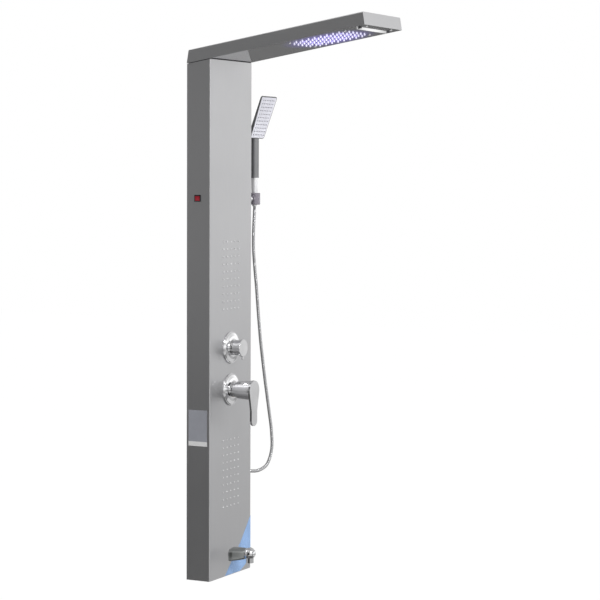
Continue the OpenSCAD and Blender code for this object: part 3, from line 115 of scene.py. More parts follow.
class ShowerFinishes(bpy.types.PropertyGroup):
    """Colours of the finishes."""

    sheet: colour_property("Sheet", "Brushed stainless of the column and arm", (0.56, 0.56, 0.57, 1))
    underside: colour_property("Underside", "Polished stainless under the arm", (0.78, 0.78, 0.79, 1))
    plain_steel: colour_property("Plain steel", "Brackets, bars, nuts and screws", (0.48, 0.48, 0.50, 1))
    # Painted shade: the arm's inner coupling is plain steel, darkened so that the seam gap between column and
    # arm reads as shadow
    gap_shade_steel: colour_property("Gap shade steel", "Inner frame of the arm", (0.07, 0.07, 0.075, 1))
    chrome: colour_property("Chrome", "Flanges, round spout end and nuts", (0.82, 0.82, 0.83, 1))
    lever: colour_property("Lever", "Bright metal of the mixer handle", (0.80, 0.80, 0.81, 1))
    knob: colour_property("Knob", "Bright metal of the diverter knob", (0.80, 0.80, 0.81, 1))
    # Painted shade: the spout is chrome, and its colour is kept at about half the chrome's. Its darkness is
    # partly its mirror image of the dark wall and partly this painted shade.
    spout: colour_property("Spout", "Chrome of the spout, darkened as painted shade", (0.40, 0.415, 0.41, 1))
    brass: colour_property("Brass", "Valves and nuts behind the panel", (0.62, 0.43, 0.16, 1))
    silicone: colour_property("Silicone", "Nozzle mats", (0.74, 0.74, 0.78, 1))
    jets: colour_property("Jets", "Bright silicone of the body jets", (0.97, 0.97, 0.98, 1))
    box_white: colour_property("Water box", "Moulded water boxes", (0.80, 0.80, 0.78, 1))
    black: colour_property("Black plastic", "Switch, driver and cable", (0.018, 0.018, 0.02, 1))
    rocker: colour_property("Rocker", "Red rocker of the switch", (0.38, 0.012, 0.028, 1))
    tube: colour_property("Tube", "Inner water tubes", (0.62, 0.64, 0.67, 1))
    board: colour_property("Board", "Circuit board over the lights", (0.02, 0.16, 0.07, 1))
    head_grey: colour_property("Handset grey", "Handset shell and handle", (0.16, 0.16, 0.17, 1))
    cradle_grey: colour_property("Cradle grey", "Cradle of the handset", (0.28, 0.26, 0.30, 1))
    face: colour_property("Spray face", "Pale face of the handset", (0.93, 0.93, 0.99, 1))
    # Painted light: a faint glow on the spray face, which is no lamp
    face_painted_light: colour_property("Face painted glow", "Faint light that lifts the spray face", (0.8, 0.8, 1.0, 1))
    # Painted highlight: the cone is chrome, lightened and made half matt so that it shows bright all over
    cone: colour_property("Cone", "Chrome of the handset's cone, lightened as painted highlight", (0.95, 0.95, 0.96, 1))
    spray_dots: colour_property("Spray dots", "Soft nozzles of the handset", (0.38, 0.37, 0.42, 1))
    hose: colour_property("Hose", "Silver of the ribbed hose", (0.60, 0.60, 0.61, 1))
    glow: colour_property("Glow", "Light of the rain head on the polished plate", (0.13, 0.08, 0.62, 1))
    tips: colour_property("Lit tips", "Light in the rain head's nozzles", (0.86, 0.84, 1.0, 1))
    guides: colour_property("Light guides", "Body of the light guides", (0.9, 0.86, 1.0, 1))
    guide_light: colour_property("Guide light", "Light in the guides", (0.30, 0.22, 1.0, 1))
    # Painted shade: the chute inside the waterfall slot is darkened to stand for the shade in the slot
    lip: colour_property("Waterfall slot", "Steel inside the waterfall slot, darkened as painted shade", (0.14, 0.14, 0.15, 1))
    lip_light: colour_property("Lip light", "Light along the waterfall's lip", (1, 1, 1, 1))
    film: colour_property("Film", "Blue protective film", (0.31, 0.50, 0.84, 1))
    label: colour_property("Label", "Grey-blue of the bare label", (0.34, 0.35, 0.39, 1))
    label_strip: colour_property("Label strip", "Pale strip under the label", (0.8, 0.8, 0.8, 1))


class ShowerSizes(bpy.types.PropertyGroup):
    """Sizes of the pieces that are made here."""

    hose_d: FloatProperty(
        name="Hose diameter", description="Outside of the ribs", default=0.008, unit="LENGTH", precision=4
    )
    rib_depth: FloatProperty(
        name="Rib depth", description="Depth of the grooves between ribs", default=0.0006, unit="LENGTH",
        precision=4
    )
    ribs_per_span: IntProperty(
        name="Ribs per span", description="Ribs between two points of the route", default=22, min=8, max=40
    )
    hose_sides: IntProperty(
        name="Hose sides", description="Faces around the hose", default=14, min=8, max=32
    )
    film_t: FloatProperty(
        name="Film thickness", description="Thickness of the film", default=0.0002, unit="LENGTH", precision=5
    )
    label_t: FloatProperty(
        name="Label thickness", description="Thickness of the label", default=0.0002, unit="LENGTH",
        precision=5
    )


class ShowerStudio(bpy.types.PropertyGroup):
    """Camera and light."""

    camera_at: FloatVectorProperty(
        name="Camera", description="Place of the camera", default=(-4.1840, -2.3735, 0.9411), size=3,
        subtype="TRANSLATION",
    )
    yaw: FloatProperty(
        name="Yaw", description="Turn of the camera about the vertical", default=math.radians(-63.018),
        subtype="ANGLE"
    )
    pitch: FloatProperty(
        name="Pitch", description="Tilt of the camera", default=math.radians(-3.493), subtype="ANGLE"
    )
    roll: FloatProperty(
        name="Roll", description="Turn of the camera about its own line", default=math.radians(0.247),
        subtype="ANGLE"
    )
    lens: FloatProperty(
        name="Lens", description="Focal length in millimetres", default=122.766, min=20, max=400
    )
    floor_z: FloatProperty(
        name="Floor", description="Height of the floor under the column", default=-0.55, unit="LENGTH"
    )
    key_power: FloatProperty(name="Key light", description="Power of the key light", default=50, unit="POWER")
    fill_power: FloatProperty(
        name="Fill light", description="Power of the fill light", default=12, unit="POWER"
    )
    top_power: FloatProperty(
        name="Top light", description="Power of the light above", default=20, unit="POWER"
    )
    room_light: FloatProperty(
        name="Room light", description="Strength of the light from all round", default=0.55, min=0, max=2
    )
    room_gloss: FloatProperty(
        name="Room in gloss", description="Strength of the room that metal mirrors", default=1.0, min=0, max=2
    )
    wall_gloss: FloatProperty(
        name="Wall in gloss", description="Strength of the darker wall that metal mirrors", default=1.0,
        min=0, max=2
    )


def finishes():
    return bpy.context.scene.shower_finishes


def sizes():
    return bpy.context.scene.shower_sizes


def studio():
    return bpy.context.scene.shower_studio


# Shared effects


def start_group(name, inputs, outputs):
    """A shader node group with named sockets, and its input and output nodes."""
    group = bpy.data.node_groups.new(name, "ShaderNodeTree")
    for socket_name, kind, default in inputs:
        socket = group.interface.new_socket(name=socket_name, in_out="INPUT", socket_type=kind)
        if default is not None:
            socket.default_value = default
    for socket_name, kind in outputs:
        group.interface.new_socket(name=socket_name, in_out="OUTPUT", socket_type=kind)
    return group, group.nodes.new("NodeGroupInput"), group.nodes.new("NodeGroupOutput")


def brushed_grain():
    """Long fine streaks: Stretch squeezes the place along each axis, and Amount sets how tone varies."""
    name = "brushed grain"
    if name in bpy.data.node_groups:
        return bpy.data.node_groups[name]
    group, start, end = start_group(
        name,
        [
            ("Place", "NodeSocketVector", None),
            ("Stretch", "NodeSocketVector", (1, 1, 1)),
            ("Scale", "NodeSocketFloat", 400.0),
            ("Amount", "NodeSocketFloat", 0.1),
        ],
        [("Tone", "NodeSocketFloat"), ("Height", "NodeSocketFloat")],
    )
    nodes, links = group.nodes, group.links
    squeeze = nodes.new("ShaderNodeVectorMath")
    squeeze.operation = "MULTIPLY"
    streaks = nodes.new("ShaderNodeTexNoise")
    streaks.inputs["Detail"].default_value = 4.0
    streaks.inputs["Roughness"].default_value = 0.6
    centred = nodes.new("ShaderNodeMath")
    centred.operation = "SUBTRACT"
    centred.inputs[1].default_value = 0.5
    scaled = nodes.new("ShaderNodeMath")
    scaled.operation = "MULTIPLY_ADD"
    scaled.inputs[2].default_value = 1.0
    links.new(start.outputs["Place"], squeeze.inputs[0])
    links.new(start.outputs["Stretch"], squeeze.inputs[1])
    links.new(squeeze.outputs[0], streaks.inputs["Vector"])
    links.new(start.outputs["Scale"], streaks.inputs["Scale"])
    links.new(streaks.outputs["Fac"], centred.inputs[0])
    links.new(centred.outputs[0], scaled.inputs[0])
    links.new(start.outputs["Amount"], scaled.inputs[1])
    links.new(scaled.outputs[0], end.inputs["Tone"])
    links.new(streaks.outputs["Fac"], end.inputs["Height"])
    return group


def soft_mottle():
    """Broad, faint unevenness between two values, as on handled and polished surfaces."""
    name = "soft mottle"
    if name in bpy.data.node_groups:
        return bpy.data.node_groups[name]
    group, start, end = start_group(
        name,
        [
            ("Place", "NodeSocketVector", None),
            ("Scale", "NodeSocketFloat", 30.0),
            ("Low", "NodeSocketFloat", 0.2),
            ("High", "NodeSocketFloat", 0.3),
        ],
        [("Value", "NodeSocketFloat")],
    )
    nodes, links = group.nodes, group.links
    clouds = nodes.new("ShaderNodeTexNoise")
    clouds.inputs["Detail"].default_value = 3.0
    spread = nodes.new("ShaderNodeMapRange")
    spread.inputs["From Min"].default_value = 0.3
    spread.inputs["From Max"].default_value = 0.7
    links.new(start.outputs["Place"], clouds.inputs["Vector"])
    links.new(start.outputs["Scale"], clouds.inputs["Scale"])
    links.new(clouds.outputs["Fac"], spread.inputs["Value"])
    links.new(start.outputs["Low"], spread.inputs["To Min"])
    links.new(start.outputs["High"], spread.inputs["To Max"])
    links.new(spread.outputs["Result"], end.inputs["Value"])
    return group


def lamp_glow():
    """A soft round pool of light about a point, squeezed by Reach, strongest at its middle."""
    name = "lamp glow"
    if name in bpy.data.node_groups:
        return bpy.data.node_groups[name]
    group, start, end = start_group(
        name,
        [
            ("Place", "NodeSocketVector", None),
            ("Middle", "NodeSocketVector", (0, 0, 0)),
            ("Reach", "NodeSocketVector", (0.1, 0.1, 0.1)),
            ("Colour", "NodeSocketColor", (0.4, 0.2, 1, 1)),
        ],
        [("Glow", "NodeSocketColor")],
    )
    nodes, links = group.nodes, group.links
    away = nodes.new("ShaderNodeVectorMath")
    away.operation = "SUBTRACT"
    shrunk = nodes.new("ShaderNodeVectorMath")
    shrunk.operation = "DIVIDE"
    length = nodes.new("ShaderNodeVectorMath")
    length.operation = "LENGTH"
    fade = nodes.new("ShaderNodeMapRange")
    fade.interpolation_type = "SMOOTHSTEP"
    fade.inputs["From Min"].default_value = 0.25
    fade.inputs["From Max"].default_value = 1.0
    fade.inputs["To Min"].default_value = 1.0
    fade.inputs["To Max"].default_value = 0.0
    tint = nodes.new("ShaderNodeMix")
    tint.data_type = "RGBA"
    tint.inputs["A"].default_value = (0, 0, 0, 1)
    links.new(start.outputs["Place"], away.inputs[0])
    links.new(start.outputs["Middle"], away.inputs[1])
    links.new(away.outputs[0], shrunk.inputs[0])
    links.new(start.outputs["Reach"], shrunk.inputs[1])
    links.new(shrunk.outputs[0], length.inputs[0])
    links.new(length.outputs["Value"], fade.inputs["Value"])
    links.new(fade.outputs["Result"], tint.inputs["Factor"])
    links.new(start.outputs["Colour"], tint.inputs["B"])
    links.new(tint.outputs["Result"], end.inputs["Glow"])
    return group


def place_group(material, group, place, values):
    """Puts a shared effect into a material, fed with its place and given its own values."""
    node = material.node_tree.nodes.new("ShaderNodeGroup")
    node.node_tree = group
    material.node_tree.links.new(place, node.inputs["Place"])
    for socket_name, value in values.items():
        node.inputs[socket_name].default_value = value
    return node


def finish(name, colour, roughness, metallic=0.0, stretch=(1, 1, 1), grain_scale=400.0, grain=0.08,
           bump=0.05, rough_spread=0.06, mottle_scale=25.0, coat=0.0, tone_spread=0.06, alpha=1.0):
    """A material with streaked tone, uneven gloss and a fine bump, made once."""
    if name in bpy.data.materials:
        return bpy.data.materials[name]
    material = bpy.data.materials.new(name)
    material.use_nodes = True
    nodes, links = material.node_tree.nodes, material.node_tree.links
    shader = nodes["Principled BSDF"]
    shader.inputs["Metallic"].default_value = metallic
    shader.inputs["Coat Weight"].default_value = coat
    shader.inputs["Alpha"].default_value = alpha
    place = nodes.new("ShaderNodeTexCoord").outputs["Object"]
    streaks = place_group(
        material, brushed_grain(), place, {"Stretch": stretch, "Scale": grain_scale, "Amount": grain}
    )
    clouds = place_group(
        material, soft_mottle(), place,
        {"Scale": mottle_scale, "Low": 1 - tone_spread, "High": 1 + tone_spread},
    )
    tone = nodes.new("ShaderNodeMath")
    tone.operation = "MULTIPLY"
    links.new(streaks.outputs["Tone"], tone.inputs[0])
    links.new(clouds.outputs["Value"], tone.inputs[1])
    shade = nodes.new("ShaderNodeVectorMath")
    shade.operation = "SCALE"
    shade.inputs[0].default_value = tuple(colour)[:3]
    links.new(tone.outputs[0], shade.inputs["Scale"])
    links.new(shade.outputs[0], shader.inputs["Base Color"])
    gloss = place_group(
        material, soft_mottle(), place,
        {
            "Scale": mottle_scale * GLOSS_MOTTLE_RATIO,
            "Low": max(roughness - rough_spread, 0.02),
            "High": roughness + rough_spread,
        },
    )
    links.new(gloss.outputs["Value"], shader.inputs["Roughness"])
    relief = nodes.new("ShaderNodeBump")
    relief.inputs["Strength"].default_value = bump
    relief.inputs["Distance"].default_value = BUMP_DEPTH
    links.new(streaks.outputs["Height"], relief.inputs["Height"])
    links.new(relief.outputs["Normal"], shader.inputs["Normal"])
    return material


def lit_finish(name, colour, roughness, pool_colour, glow_strength, middle, reach, **rest):
    """A finish on which the light of the rain head lies in a pool."""
    if name in bpy.data.materials:
        return bpy.data.materials[name]
    material = finish(name, colour, roughness, **rest)
    nodes, links = material.node_tree.nodes, material.node_tree.links
    shader = nodes["Principled BSDF"]
    place = nodes.new("ShaderNodeTexCoord").outputs["Object"]
    pool = place_group(
        material, lamp_glow(), place, {"Middle": middle, "Reach": reach, "Colour": tuple(pool_colour)}
    )
    links.new(pool.outputs["Glow"], shader.inputs["Emission Color"])
    shader.inputs["Emission Strength"].default_value = glow_strength
    return material


def dress(material, *names):
    """Gives CAD nodes their material."""
    for name in names:
        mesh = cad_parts[name].data
        mesh.materials.clear()
        mesh.materials.append(material)


def on_arm(x, s, h):
    """A point of the arm's frame: s runs out along the arm and h up from its underside."""
    ahead = Vector((0, -math.cos(ARM_TILT), math.sin(ARM_TILT)))
    above = Vector((0, math.sin(ARM_TILT), math.cos(ARM_TILT)))
    return ARM_FOOT + Vector((x, 0, 0)) + ahead * s + above * h


# Mesh helpers


def mesh_object(name, bm, smooth=True):
    bmesh.ops.recalc_face_normals(bm, faces=bm.faces)
    mesh = bpy.data.meshes.new(name)
    bm.to_mesh(mesh)
    bm.free()
    for polygon in mesh.polygons:
        polygon.use_smooth = smooth
    piece = bpy.data.objects.new(name, mesh)
    bpy.context.scene.collection.objects.link(piece)
    return piece


def thin_plate(name, outline, outward, thickness):
    """A closed plate on a flat face, from its outline and the face's outward direction."""
    bm = bmesh.new()
    lift = Vector(outward) * thickness
    low = [bm.verts.new(Vector(point)) for point in outline]
    high = [bm.verts.new(Vector(point) + lift) for point in outline]
    bm.faces.new(low)
    bm.faces.new(list(reversed(high)))
    count = len(outline)
    for i in range(count):
        j = (i + 1) % count
        bm.faces.new([low[i], low[j], high[j], high[i]])
    return mesh_object(name, bm, smooth=False)


def route_point(i, t):
    """A point and its direction on the smooth curve through the hose's route."""
    a, b, c, d = (Vector(HOSE_ROUTE[i + k]) for k in range(4))
    point = (2 * b + (c - a) * t + (2 * a - 5 * b + 4 * c - d) * t * t + (3 * b - a - 3 * c + d) * t ** 3) / 2
    slope = ((c - a) + 2 * (2 * a - 5 * b + 4 * c - d) * t + 3 * (3 * b - a - 3 * c + d) * t * t) / 2
    return point * MM, slope.normalized()


def sweep(bm, rings, sides):
    """A closed tube wall through rings of middle, direction and radius; the caller joins its ends."""
    loops = []
    for middle, direction, radius in rings:
        across = direction.cross(Vector((0, 1, 0))).normalized()
        above = across.cross(direction)
        loops.append([
            bm.verts.new(middle + radius * (
                math.cos(2 * math.pi * k / sides) * across + math.sin(2 * math.pi * k / sides) * above
            ))
            for k in range(sides)
        ])
    for one, other in zip(loops, loops[1:]):
        for k in range(sides):
            n = (k + 1) % sides
            bm.faces.new([one[k], one[n], other[n], other[k]])
    return loops


def join_loops(bm, one, other):
    for k in range(len(one)):
        n = (k + 1) % len(one)
        bm.faces.new([one[k], other[k], other[n], one[n]])


def ribbed_hose():
    """The hose as one tube with round ribs and its bore, and the points of its line."""
    size = sizes()
    outside = size.hose_d / 2
    spans = len(HOSE_ROUTE) - 3
    start, end = Vector(HOSE_START) * MM, Vector(HOSE_END) * MM
    rib_shape = [1.0, 0.35, 0.0, 0.35]
    steps = len(rib_shape)
    outer = [(start, Vector((1, 0, 0)), outside - size.rib_depth)]
    inner = [(start, Vector((1, 0, 0)), HOSE_BORE_R)]
    path = [start]
    for i in range(spans):
        for k in range(size.ribs_per_span * steps):
            point, direction = route_point(i, k / (size.ribs_per_span * steps))
            outer.append((point, direction, outside - size.rib_depth * rib_shape[k % steps]))
            if k % (2 * steps) == 0:
                inner.append((point, direction, HOSE_BORE_R))
                path.append(point)
    last = Vector(HOSE_ROUTE[spans + 1]) * MM
    for point in (last, end):
        outer.append((point, Vector((0, 0, 1)), outside - size.rib_depth))
        inner.append((point, Vector((0, 0, 1)), HOSE_BORE_R))
        path.append(point)
    bm = bmesh.new()
    outer_loops = sweep(bm, outer, size.hose_sides)
    inner_loops = sweep(bm, inner, size.hose_sides)
    join_loops(bm, outer_loops[0], inner_loops[0])
    join_loops(bm, outer_loops[-1], inner_loops[-1])
    length = sum((b - a).length for a, b in zip(path, path[1:]))
    return mesh_object("ribbed_hose", bm), path, length


def loft(name, loops):
    """A closed piece through loops of as many points each, with a face over both ends."""
    bm = bmesh.new()
    rows = [[bm.verts.new(point) for point in loop] for loop in loops]
    for one, other in zip(rows, rows[1:]):
        join_loops(bm, one, other)
    bm.faces.new(rows[0])
    bm.faces.new(list(reversed(rows[-1])))
    return mesh_object(name, bm)


def spout_outline(half, low):
    """The spout's cross-section: flat sides, a rounded crease and a low crown, in millimetres."""
    corner, crease, crest, soft = 4.0, 10.0, 17.0, 1.6
    right = [(half - corner, -low), (half - corner * 0.3, -low + corner * 0.3), (half, -low + corner)]
    right += [(half, z) for z in (0.0, crease - soft * 1.6, crease - soft)]
    right += [(half - soft * 0.12, crease - soft * 0.4), (half - soft * 0.45, crease + soft * 0.08)]
    crown = [
        (half * share, crest - (crest - crease) * share * share)
        for share in (0.92, 0.86, 0.7, 0.5, 0.25, 0.0, -0.25, -0.5, -0.7, -0.86, -0.92)
    ]
    return right + crown + [(-x, z) for x, z in reversed(right)]


def crowned_spout():
    """The spout's body on its collar, hollowed where the round end sits in it."""
    # Reach from the front face, half width and depth below the waterway
    stations = [
        (9.0, 25.5, 10.5), (9.5, 27.0, 11.8), (10.6, 28.1, 12.7), (12.5, 28.4, 13.0), (20.0, 24.6, 11.9),
        (32.0, 18.4, 10.0), (SPOUT_LENGTH - 0.8, 12.8, 8.2), (SPOUT_LENGTH, 12.2, 7.9),
    ]
    loops = []
    for reach, half, low in stations:
        loops.append([Vector((x, FRONT_Y - reach, SPOUT_Z + z)) * MM for x, z in spout_outline(half, low)])
    body = loft("spout_body_cover", loops)
    bm = bmesh.new()
    bmesh.ops.create_uvsphere(bm, u_segments=40, v_segments=24, radius=BALL_R * MM)
    ball = mesh_object("ball_seat", bm)
    ball.location = (0, (FRONT_Y - BALL_REACH) * MM, (SPOUT_Z + BALL_RISE) * MM)
    bm = bmesh.new()
    steps = 32
    rings = [[
        bm.verts.new(Vector((COLLAR_R * math.cos(a), FRONT_Y - reach, SPOUT_Z + COLLAR_R * math.sin(a))) * MM)
        for a in (2 * math.pi * k / steps for k in range(steps))
    ] for reach in (0.0, 0.5, 6.0, COLLAR_LENGTH)]
    for one, other in zip(rings, rings[1:]):
        join_loops(bm, one, other)
    bm.faces.new(rings[0])
    bm.faces.new(list(reversed(rings[-1])))
    collar = mesh_object("collar", bm)
    bpy.context.view_layer.update()
    for tool, operation in ((collar, "UNION"), (ball, "DIFFERENCE")):
        cut = body.modifiers.new(tool.name, "BOOLEAN")
        cut.operation = operation
        cut.solver = "EXACT"
        cut.object = tool
    shaped = bpy.data.meshes.new_from_object(body.evaluated_get(bpy.context.evaluated_depsgraph_get()))
    body.modifiers.clear()
    body.data = shaped
    for tool in (collar, ball):
        bpy.data.objects.remove(tool)
    for polygon in body.data.polygons:
        polygon.use_smooth = True
    body.data.set_sharp_from_angle(angle=math.radians(38))
    return body


def tapered_shell():
    """The handset's shell, thicker towards the handle, with a humped back and a recess for its face."""
    half_root, half_top, length, corner, steps = 34.0, 39.0, 105.0, 6.0, 8
    recess, wall, front = 3.5, 2.0, 7.0

    def rim(inset):
        """The head's outline in its own plane, drawn in by the inset."""
        corners = [(half_root - corner, corner, -90), (half_top - corner, length - corner, 0),
                   (corner - half_top, length - corner, 90), (corner - half_root, corner, 180)]
        return [
            (x + (corner - inset) * math.cos(math.radians(begin + 90 * k / steps)),
             y + (corner - inset) * math.sin(math.radians(begin + 90 * k / steps)))
            for x, y, begin in corners for k in range(steps + 1)
        ]

    turn = Matrix.Rotation(math.radians(90 + HEAD_LEAN), 3, "X")
    foot = Vector(HEAD_FOOT)

    def put(points):
        """Points of the leaning head, in metres."""
        return [(foot + turn @ Vector(point)) * MM for point in points]

    def back(y):
        """The rim's rear edge, which comes forward towards the top."""
        return -1.0 + 4.8 * y / length

    loops = [
        put([(x, y, front - recess) for x, y in rim(wall)]),
        put([(x, y, front - 0.3) for x, y in rim(wall)]),
        put([(x, y, front) for x, y in rim(wall - 0.3)]),
        put([(x, y, front) for x, y in rim(0.5)]),
        put([(x, y, front - 0.5) for x, y in rim(0)]),
        put([(x, y, back(y) + 0.6) for x, y in rim(0)]),
        put([(x, y, back(y)) for x, y in rim(0.6)]),
        put([(x * 0.86, 1 + y * 0.90, back(y) - 2.4) for x, y in rim(0)]),
        put([(x * 0.62, 1.5 + y * 0.84, back(y) - 6.0 + 3.0 * y / length) for x, y in rim(0)]),
    ]
    shell = loft("handset_shell_cover", loops)
    shell.data.set_sharp_from_angle(angle=math.radians(30))
    return shell


# Tones that mirror rays meet, from low to high: height and brightness
WALL_BANDS = [
    (-5.0, 0.30), (-1.6, 0.05), (-0.8, 0.10), (-0.4, 0.24), (-0.3, 0.05), (0.18, 0.06), (0.26, 0.26),
    (1.15, 0.27), (1.5, 0.16), (2.0, 0.07), (2.7, 0.05), (2.8, 1.0), (7.0, 0.9),
]
ROOM_BANDS = [
    (-1.0, 0.12), (-0.62, 0.16), (-0.54, 0.75), (-0.36, 0.66), (-0.27, 0.34), (-0.19, 0.46), (-0.10, 0.68),
    (-0.05, 0.96), (0.12, 1.28), (0.3, 0.66), (1.0, 0.5),
]
# Sideways direction left of which the mirrored room is nearly dark, and where it is full again
ROOM_LEFT = (-0.93, -0.84)
ROOM_LEFT_SHARE = 0.04
# Place across the wall where its tone is whole, and where only the right share is left
WALL_FADE = (-0.5, 1.5)
# The floor's own tone, its white for the camera, and the share of that white
FLOOR_TONE = 0.82
FLOOR_WHITE = 1.12
FLOOR_WHITE_SHARE = 0.82
LAMP_TARGET = Vector((0, -0.1, 0.65))
# Share of the wall's tone that is left on the right of the panel
WALL_RIGHT_SHARE = 0.62


def tone_bands(tree, height, low, high, bands):
    """A grey that follows the height through its bands."""
    spread = tree.nodes.new("ShaderNodeMapRange")
    spread.inputs["From Min"].default_value = low
    spread.inputs["From Max"].default_value = high
    ramp = tree.nodes.new("ShaderNodeValToRGB")
    stops = ramp.color_ramp.elements
    brightest = max(tone for _, tone in bands)
    for index, (place, tone) in enumerate(bands):
        share = (place - low) / (high - low)
        stop = stops[index] if index < 2 else stops.new(share)
        stop.position = share
        stop.color = (tone / brightest,) * 3 + (1,)
    scale = tree.nodes.new("ShaderNodeVectorMath")
    scale.operation = "SCALE"
    scale.inputs["Scale"].default_value = brightest
    tree.links.new(height, spread.inputs["Value"])
    tree.links.new(spread.outputs["Result"], ramp.inputs["Fac"])
    tree.links.new(ramp.outputs["Color"], scale.inputs[0])
    return scale.outputs[0]


# Operators


class SHOWER_OT_camera(bpy.types.Operator):
    """Place the camera where the panel is seen from its left front"""

    bl_idname = "shower.camera"
    bl_label = "Camera"

    def execute(self, context):
        view = studio()
        yaw, pitch, roll = view.yaw, view.pitch, view.roll
        ahead = Vector((-math.sin(yaw) * math.cos(pitch), math.cos(yaw) * math.cos(pitch), math.sin(pitch)))
        level_right = ahead.cross(Vector((0, 0, 1))).normalized()
        level_up = level_right.cross(ahead)
        right = math.cos(roll) * level_right + math.sin(roll) * level_up
        up = math.cos(roll) * level_up - math.sin(roll) * level_right
        data = bpy.data.cameras.new("camera")
        data.lens = view.lens
        data.sensor_width = 36.0
        data.clip_end = 60.0
        camera = bpy.data.objects.new("camera", data)
        turn = Matrix((right, up, -ahead)).transposed().to_4x4()
        camera.matrix_world = Matrix.Translation(Vector(view.camera_at)) @ turn
        context.scene.collection.objects.link(camera)
        context.scene.camera = camera
        return {"FINISHED"}


class SHOWER_OT_hose(bpy.types.Operator):
    """Make the ribbed hose from the outlet to the handset"""

    bl_idname = "shower.hose"
    bl_label = "Hose"

    def execute(self, context):
        piece, path, length = ribbed_hose()
        colours = finishes()
        piece.data.materials.append(
            finish("hose silver", colours.hose, 0.24, metallic=0.75, grain_scale=300.0, grain=0.10, bump=0.04)
        )
        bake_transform(piece)
        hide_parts("hose")
        return {"FINISHED"}


class SHOWER_OT_sheet_metal(bpy.types.Operator):
    """Dress the column, the arm and their plates"""

    bl_idname = "shower.sheet_metal"
    bl_label = "Sheet metal"

    def execute(self, context):
        colours = finishes()
        brushed = {
            "metallic": 0.92, "grain_scale": 900.0, "grain": 0.10, "bump": 0.03,
            "rough_spread": 0.03, "mottle_scale": 3.0, "tone_spread": 0.02,
        }
        upright = finish(
            "brushed sheet upright", colours.sheet, 0.40, stretch=(1, 1, 0.02), coat=0.35, **brushed
        )
        along = finish(
            "brushed sheet along", colours.sheet, 0.36, stretch=(1, 0.02, 0.12), coat=0.2, **brushed
        )
        plain = finish(
            "plain steel", colours.plain_steel, 0.38, metallic=0.9, stretch=(0.05, 1, 1), grain_scale=500.0,
            grain=0.12, bump=0.05,
        )
        dress(upright, "column_shell", "bottom_plate")
        dress(along, "arm_shell")
        # Painted shade: the coupling is darkened to stand for the shadow in the seam gap
        gap_shade_finish = finish("dull steel", colours.gap_shade_steel, 0.55, metallic=0.7, grain_scale=300.0, grain=0.15)
        dress(plain, "wall_brackets", "hanger_bars", "chamber_studs", "chamber_nuts")
        dress(plain, "mixer_pin", "lever_screw")
        dress(gap_shade_finish, "arm_coupling")
        dress(chrome_finish(), "head_screws")
        return {"FINISHED"}


class SHOWER_OT_rain_head(bpy.types.Operator):
    """Dress the arm's underside, its nozzles and its lights"""

    bl_idname = "shower.rain_head"
    bl_label = "Rain head"

    def execute(self, context):
        colours = finishes()
        middle = tuple(on_arm(0, RAIN_REACH, 0))
        underside = lit_finish(
            "polished underside", colours.underside, 0.12, colours.glow, PLATE_GLOW, middle, PLATE_POOL,
            metallic=0.95, stretch=(1, 0.05, 0.3), grain_scale=600.0, grain=0.05, bump=0.01,
            rough_spread=0.03, mottle_scale=4.0, tone_spread=0.03,
        )
        nozzles = lit_finish(
            "lit silicone", colours.silicone, 0.45, colours.tips, TIP_GLOW, middle, TIP_POOL,
            grain_scale=200.0, grain=0.05, bump=0.02,
        )
        # Painted shade inside the waterfall slot, with a painted line of light along its lip
        lip = lit_finish(
            "lit lip", colours.lip, 0.30, colours.lip_light, LIP_GLOW, tuple(on_arm(0, SLOT_REACH, 0)),
            LIP_POOL, metallic=0.5, stretch=(0.05, 1, 1), grain_scale=500.0, grain=0.08, bump=0.02,
        )
        dress(lip, "waterfall_chute")
        guides = finish("light guides", colours.guides, 0.2, grain_scale=200.0, grain=0.03, bump=0.01)
        shader = guides.node_tree.nodes["Principled BSDF"]
        shader.inputs["Emission Color"].default_value = colours.guide_light
        shader.inputs["Emission Strength"].default_value = GUIDE_GLOW
        dress(underside, "arm_underside")
        dress(nozzles, "rain_nozzles")
        dress(guides, "led_lenses")
        dress(finish("board green", colours.board, 0.4, coat=0.2, grain_scale=300.0), "led_board")
        dress(finish("water box", colours.box_white, 0.42, grain_scale=150.0, bump=0.03), "rain_chamber")
        return {"FINISHED"}


class SHOWER_OT_body_jets(bpy.types.Operator):
    """Dress the body jets and the water boxes behind them"""

    bl_idname = "shower.body_jets"
    bl_label = "Body jets"

    def execute(self, context):
        colours = finishes()
        mats = finish("jet silicone", colours.jets, 0.25, grain_scale=200.0, grain=0.05, bump=0.02, coat=1.0)
        dress(mats, "jet_nozzles_upper", "jet_nozzles_lower")
        dress(finish("water box", colours.box_white, 0.42, grain_scale=150.0, bump=0.03),
              "jet_chamber_upper", "jet_chamber_lower")
        return {"FINISHED"}


def chrome_finish():
    return finish(
        "polished chrome", finishes().chrome, 0.07, metallic=1.0, grain_scale=80.0, grain=0.03, bump=0.004,
        rough_spread=0.02, tone_spread=0.02,
    )


def brass_finish():
    return finish(
        "machined brass", finishes().brass, 0.30, metallic=1.0, stretch=(1, 1, 0.1), grain_scale=700.0,
        grain=0.14, bump=0.05,
    )


class SHOWER_OT_diverter(bpy.types.Operator):
    """Dress the diverter's flange, knob and valve"""

    bl_idname = "shower.diverter"
    bl_label = "Diverter"

    def execute(self, context):
        colours = finishes()
        knob = finish(
            "bright knob", colours.knob, 0.10, metallic=1.0, stretch=(1, 0.1, 1), grain_scale=700.0,
            grain=0.05, bump=0.01, rough_spread=0.03,
        )
        dress(chrome_finish(), "diverter_flange", "diverter_peg")
        dress(knob, "diverter_knob")
        dress(brass_finish(), "diverter_valve", "diverter_nut", "diverter_spindle")
        return {"FINISHED"}


